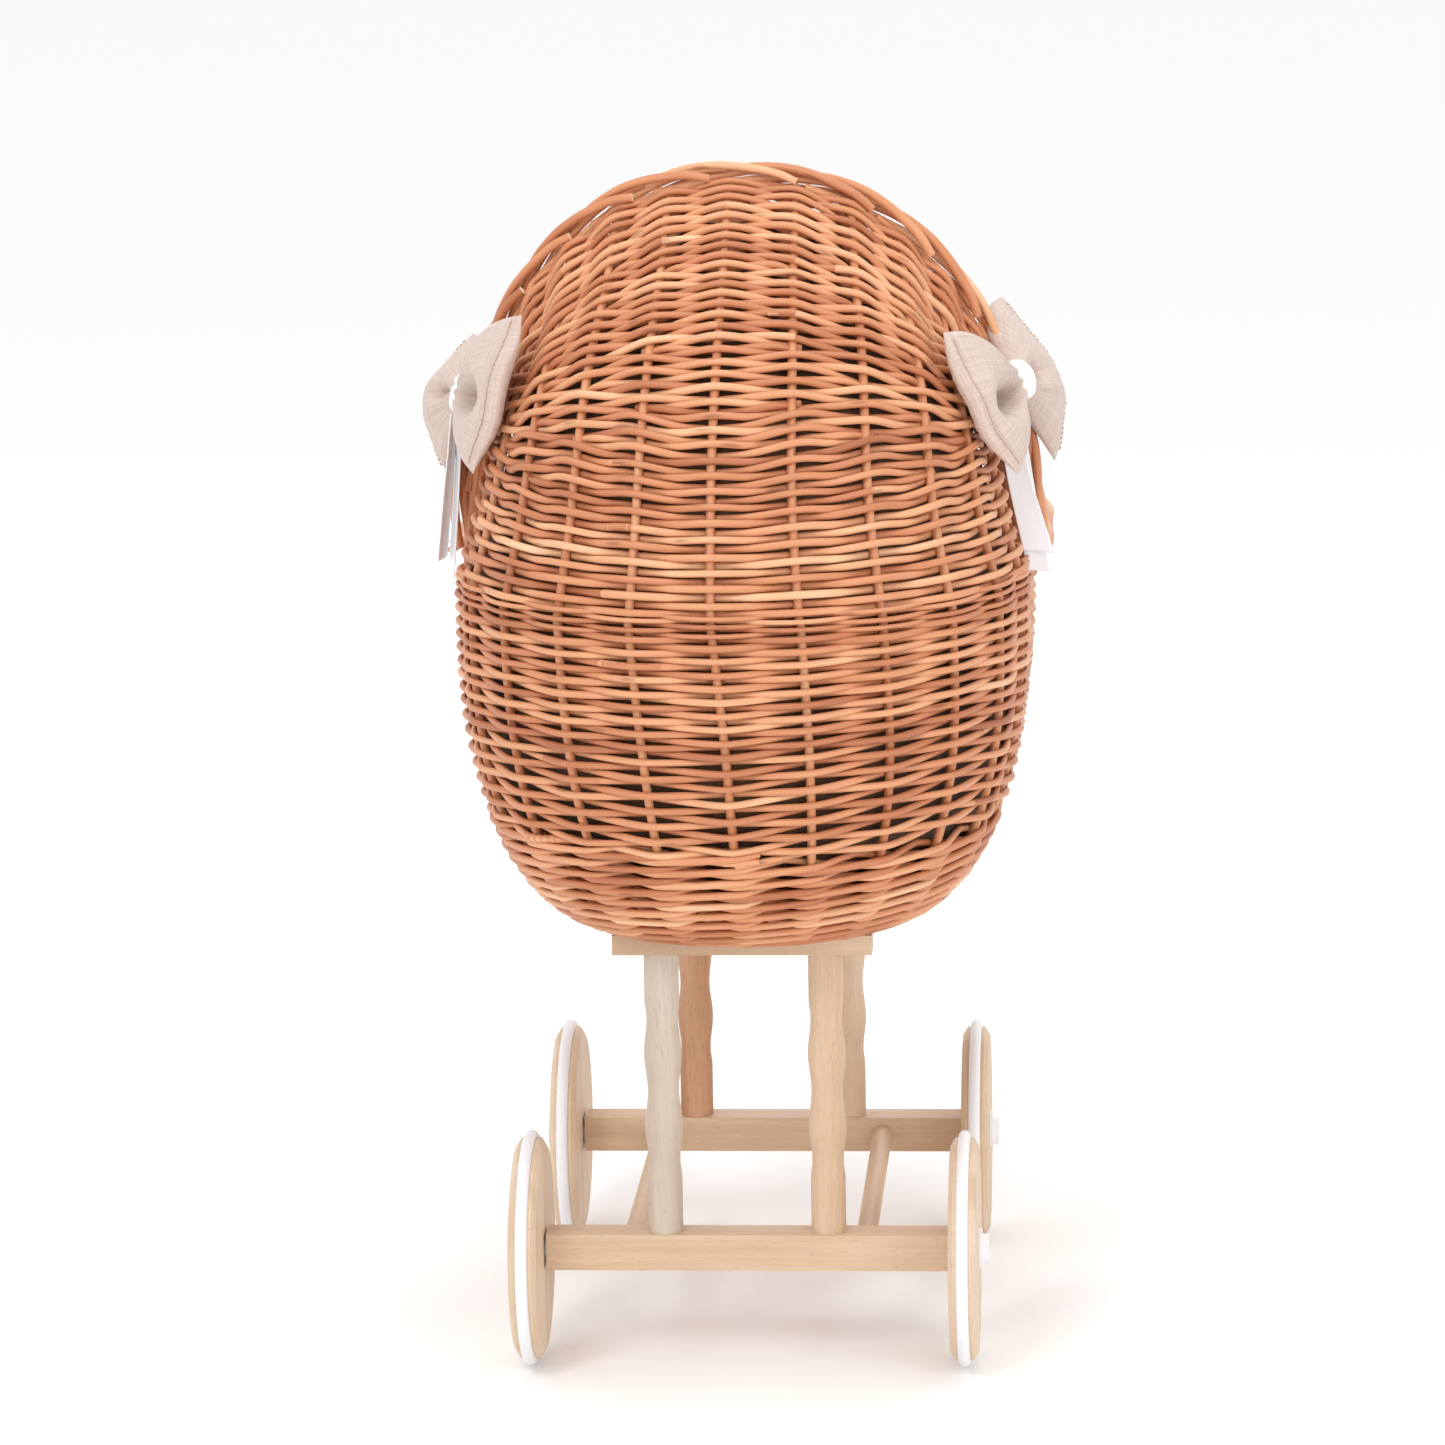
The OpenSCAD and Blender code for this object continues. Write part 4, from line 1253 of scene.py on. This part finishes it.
def bows(linen, cotton, thread):
    """Both bows with their knots and ribbon tails."""
    right = dict(knot=(171, -74, 613), face=(0.6, -0.8, 0.1))
    left = dict(knot=(-174.5, -66, 606), face=(-0.6, -0.8, 0.1))
    deep = ((-0.12, 0.24, 32.0, 0.5, 0.18), (0.5, 0.1, 4.0, 0.2, 0.22), (-0.7, 0.09, 3.5, 0.12, 0.2))
    mild = ((0.08, 0.2, 14.0, 0.3, 0.2), (-0.45, 0.1, 4.0, 0.1, 0.22), (0.6, 0.1, 3.5, 0.1, 0.2))
    # name, bow, outer edge from bottom corner to top one, puff, folds, swell
    shapes = (
        ("bow_right_back", right,
         ((171, -126, 561.5), (151, -132, 588), (136, -132, 618), (126, -128, 651)),
         14.0, deep, (0, 0, 3)),
        ("bow_right_front", right,
         ((192, -22, 553), (196, -24, 592), (180, -24, 626), (160, -24, 659)),
         13.0, mild, (-12, 0, 3)),
        ("bow_left_back", left,
         ((-161, -126, 564), (-146, -133, 600), (-136, -133, 635), (-128, -128, 664)),
         14.0, deep, (-5, 0, 4)),
        ("bow_left_front", left,
         ((-187.6, -20, 546), (-198, -22, 580), (-194, -22, 606), (-170, -24, 638)),
         13.0, mild, (7, 0, 2)),
    )
    for name, bow, edge, puff, creases, swell in shapes:
        piece, line, out = bow_half(name, bow, edge, linen, puff, creases, swell)
        seam(name + "_stitches", line, out, thread)
        if name == "bow_right_back":
            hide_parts("bow_right")
        if name == "bow_left_back":
            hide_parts("bow_left")
    for side, label in ((1, "right"), (-1, "left")):
        bow = right if side > 0 else left
        knot = np.array(bow["knot"], float)
        axis, up = (0.27 * side, 0.96, -0.05), (-0.3 * side, 0.0, 0.95)
        wide, deep = (17.0, 11.0) if side > 0 else (14.0, 7.0)
        band = knot_band("knot_" + label, knot, axis, up, cotton, wide, 12.5, deep)
        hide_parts("bow_knot_" + label)
    tails = (
        ("ribbon_right_a", (172, -66, 602), (167, -61, 575), (173, -60, 545), (184, -60, 503),
         (12, 14, 16, 20), (1, 0.05, -0.12), "ribbons_right"),
        ("ribbon_right_b", (174, -60, 602), (172, -56, 570), (177, -54, 535), (183, -54, 490),
         (10, 11, 12, 16), (1, 0.2, -0.1), None),
        ("ribbon_left_a", (-179, -70, 595), (-182, -64, 570), (-186, -60, 540), (-190, -60, 500),
         (13, 14, 15, 17), (-0.25, -1, 0), "ribbons_left"),
        ("ribbon_left_b", (-180, -66, 595), (-180, -58, 565), (-183, -54, 530), (-187, -54, 485),
         (12, 13, 14, 16), (-0.35, 1, 0), None),
    )
    for name, a, b, c, d, widths, across, node in tails:
        knot = "knot_" + name.split("_")[1]
        strip = ribbon(name, (a, b, c, d), widths, (across,) * 4, cotton)
        if node:
            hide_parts(node)


# ---------------------------------------------------------------- build

studio()
willow_weave = willow("willow_weave")
willow_rod = willow("willow_rod")
# The lining's warp and weft are the bows' pale linen darkened to brown: painted shade for the cloth that
# lies in shadow behind the weave.
lining_cloth = cloth("lining_cloth", hue(104, 80, 60), hue(76, 56, 42), 0.0013, bump=0.6)
bow_linen = cloth("bow_linen", hue(228, 209, 198), hue(190, 168, 156), 0.0013, twill=True, bump=0.6)
white_cotton = cloth("white_cotton", hue(251, 253, 255), hue(246, 249, 254), 0.0006, bump=0.25)
pad_cotton = cloth("pad_cotton", hue(236, 230, 218), hue(224, 216, 202), 0.0009, bump=0.4)
bow_thread = plain("bow_thread", hue(206, 186, 168), 0.8, 0.2, 0.3)
pad_thread = plain("pad_thread", hue(228, 220, 206), 0.85, 0.2, 0.3)

basket_stakes(willow_rod)
lower_basket(willow_weave)
hood_weave(willow_weave)
rim_band(willow_weave)
hood_border(willow_rod)
rim_border(willow_rod)
base_mat(willow_weave)
push_handle(willow_rod, willow_rod)
linings(lining_cloth)
mattress(pad_cotton, pad_thread)
bows(bow_linen, white_cotton, bow_thread)

# The stand keeps the CAD's pieces and gets each its own timber, grain and finish.
PALE = (hue(226, 206, 184), hue(218, 194, 168), hue(202, 174, 144))
WARM = (hue(222, 200, 176), hue(212, 184, 154), hue(192, 158, 128))
GREY = (hue(218, 208, 196), hue(208, 194, 180), hue(188, 170, 152))
ORANGE = (hue(212, 172, 138), hue(200, 154, 120), hue(176, 128, 94))
timber = {
    "axle_beam_head": (0, WARM, 1.0, 0.0), "axle_beam_foot": (0, WARM, 2.3, 0.0),
    "cross_rail_head": (0, WARM, 3.1, 0.12), "cross_rail_foot": (0, PALE, 4.7, 0.0),
    "leg_head_left": (2, GREY, 5.2, 0.55), "leg_head_right": (2, WARM, 6.4, 0.15),
    "leg_foot_left": (2, ORANGE, 7.9, 0.1), "leg_foot_right": (2, PALE, 8.3, 0.1),
    "stretcher_left": (1, WARM, 9.1, 0.0), "stretcher_right": (1, WARM, 10.6, 0.0),
    "wheel_head_left": (2, PALE, 11.2, 0.0), "wheel_head_right": (2, PALE, 12.8, 0.0),
    "wheel_foot_left": (2, PALE, 13.5, 0.0), "wheel_foot_right": (2, WARM, 14.9, 0.0),
}
rubber = plain("white_rubber", hue(236, 236, 238), 0.5, 0.06, 0.25, 500.0)
plastic = plain("white_plastic", hue(242, 242, 244), 0.36, 0.03, 0.1, 700.0, specular=0.5)
zinc = plain("zinc_steel", hue(176, 178, 182), 0.38, 0.15, 0.2, 900.0, metallic=1.0, specular=0.5)
for name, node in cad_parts.items():
    material = None
    if name in timber:
        material = beech(name + "_wood", *timber[name])
    elif name.startswith("tyre"):
        material = rubber
    elif name.startswith("hub_cap"):
        material = plastic
    elif name.startswith(("axle_rod", "axle_washers", "base_screws", "base_washers")):
        material = zinc
    if material:
        for place in node.material_slots:
            place.material = material
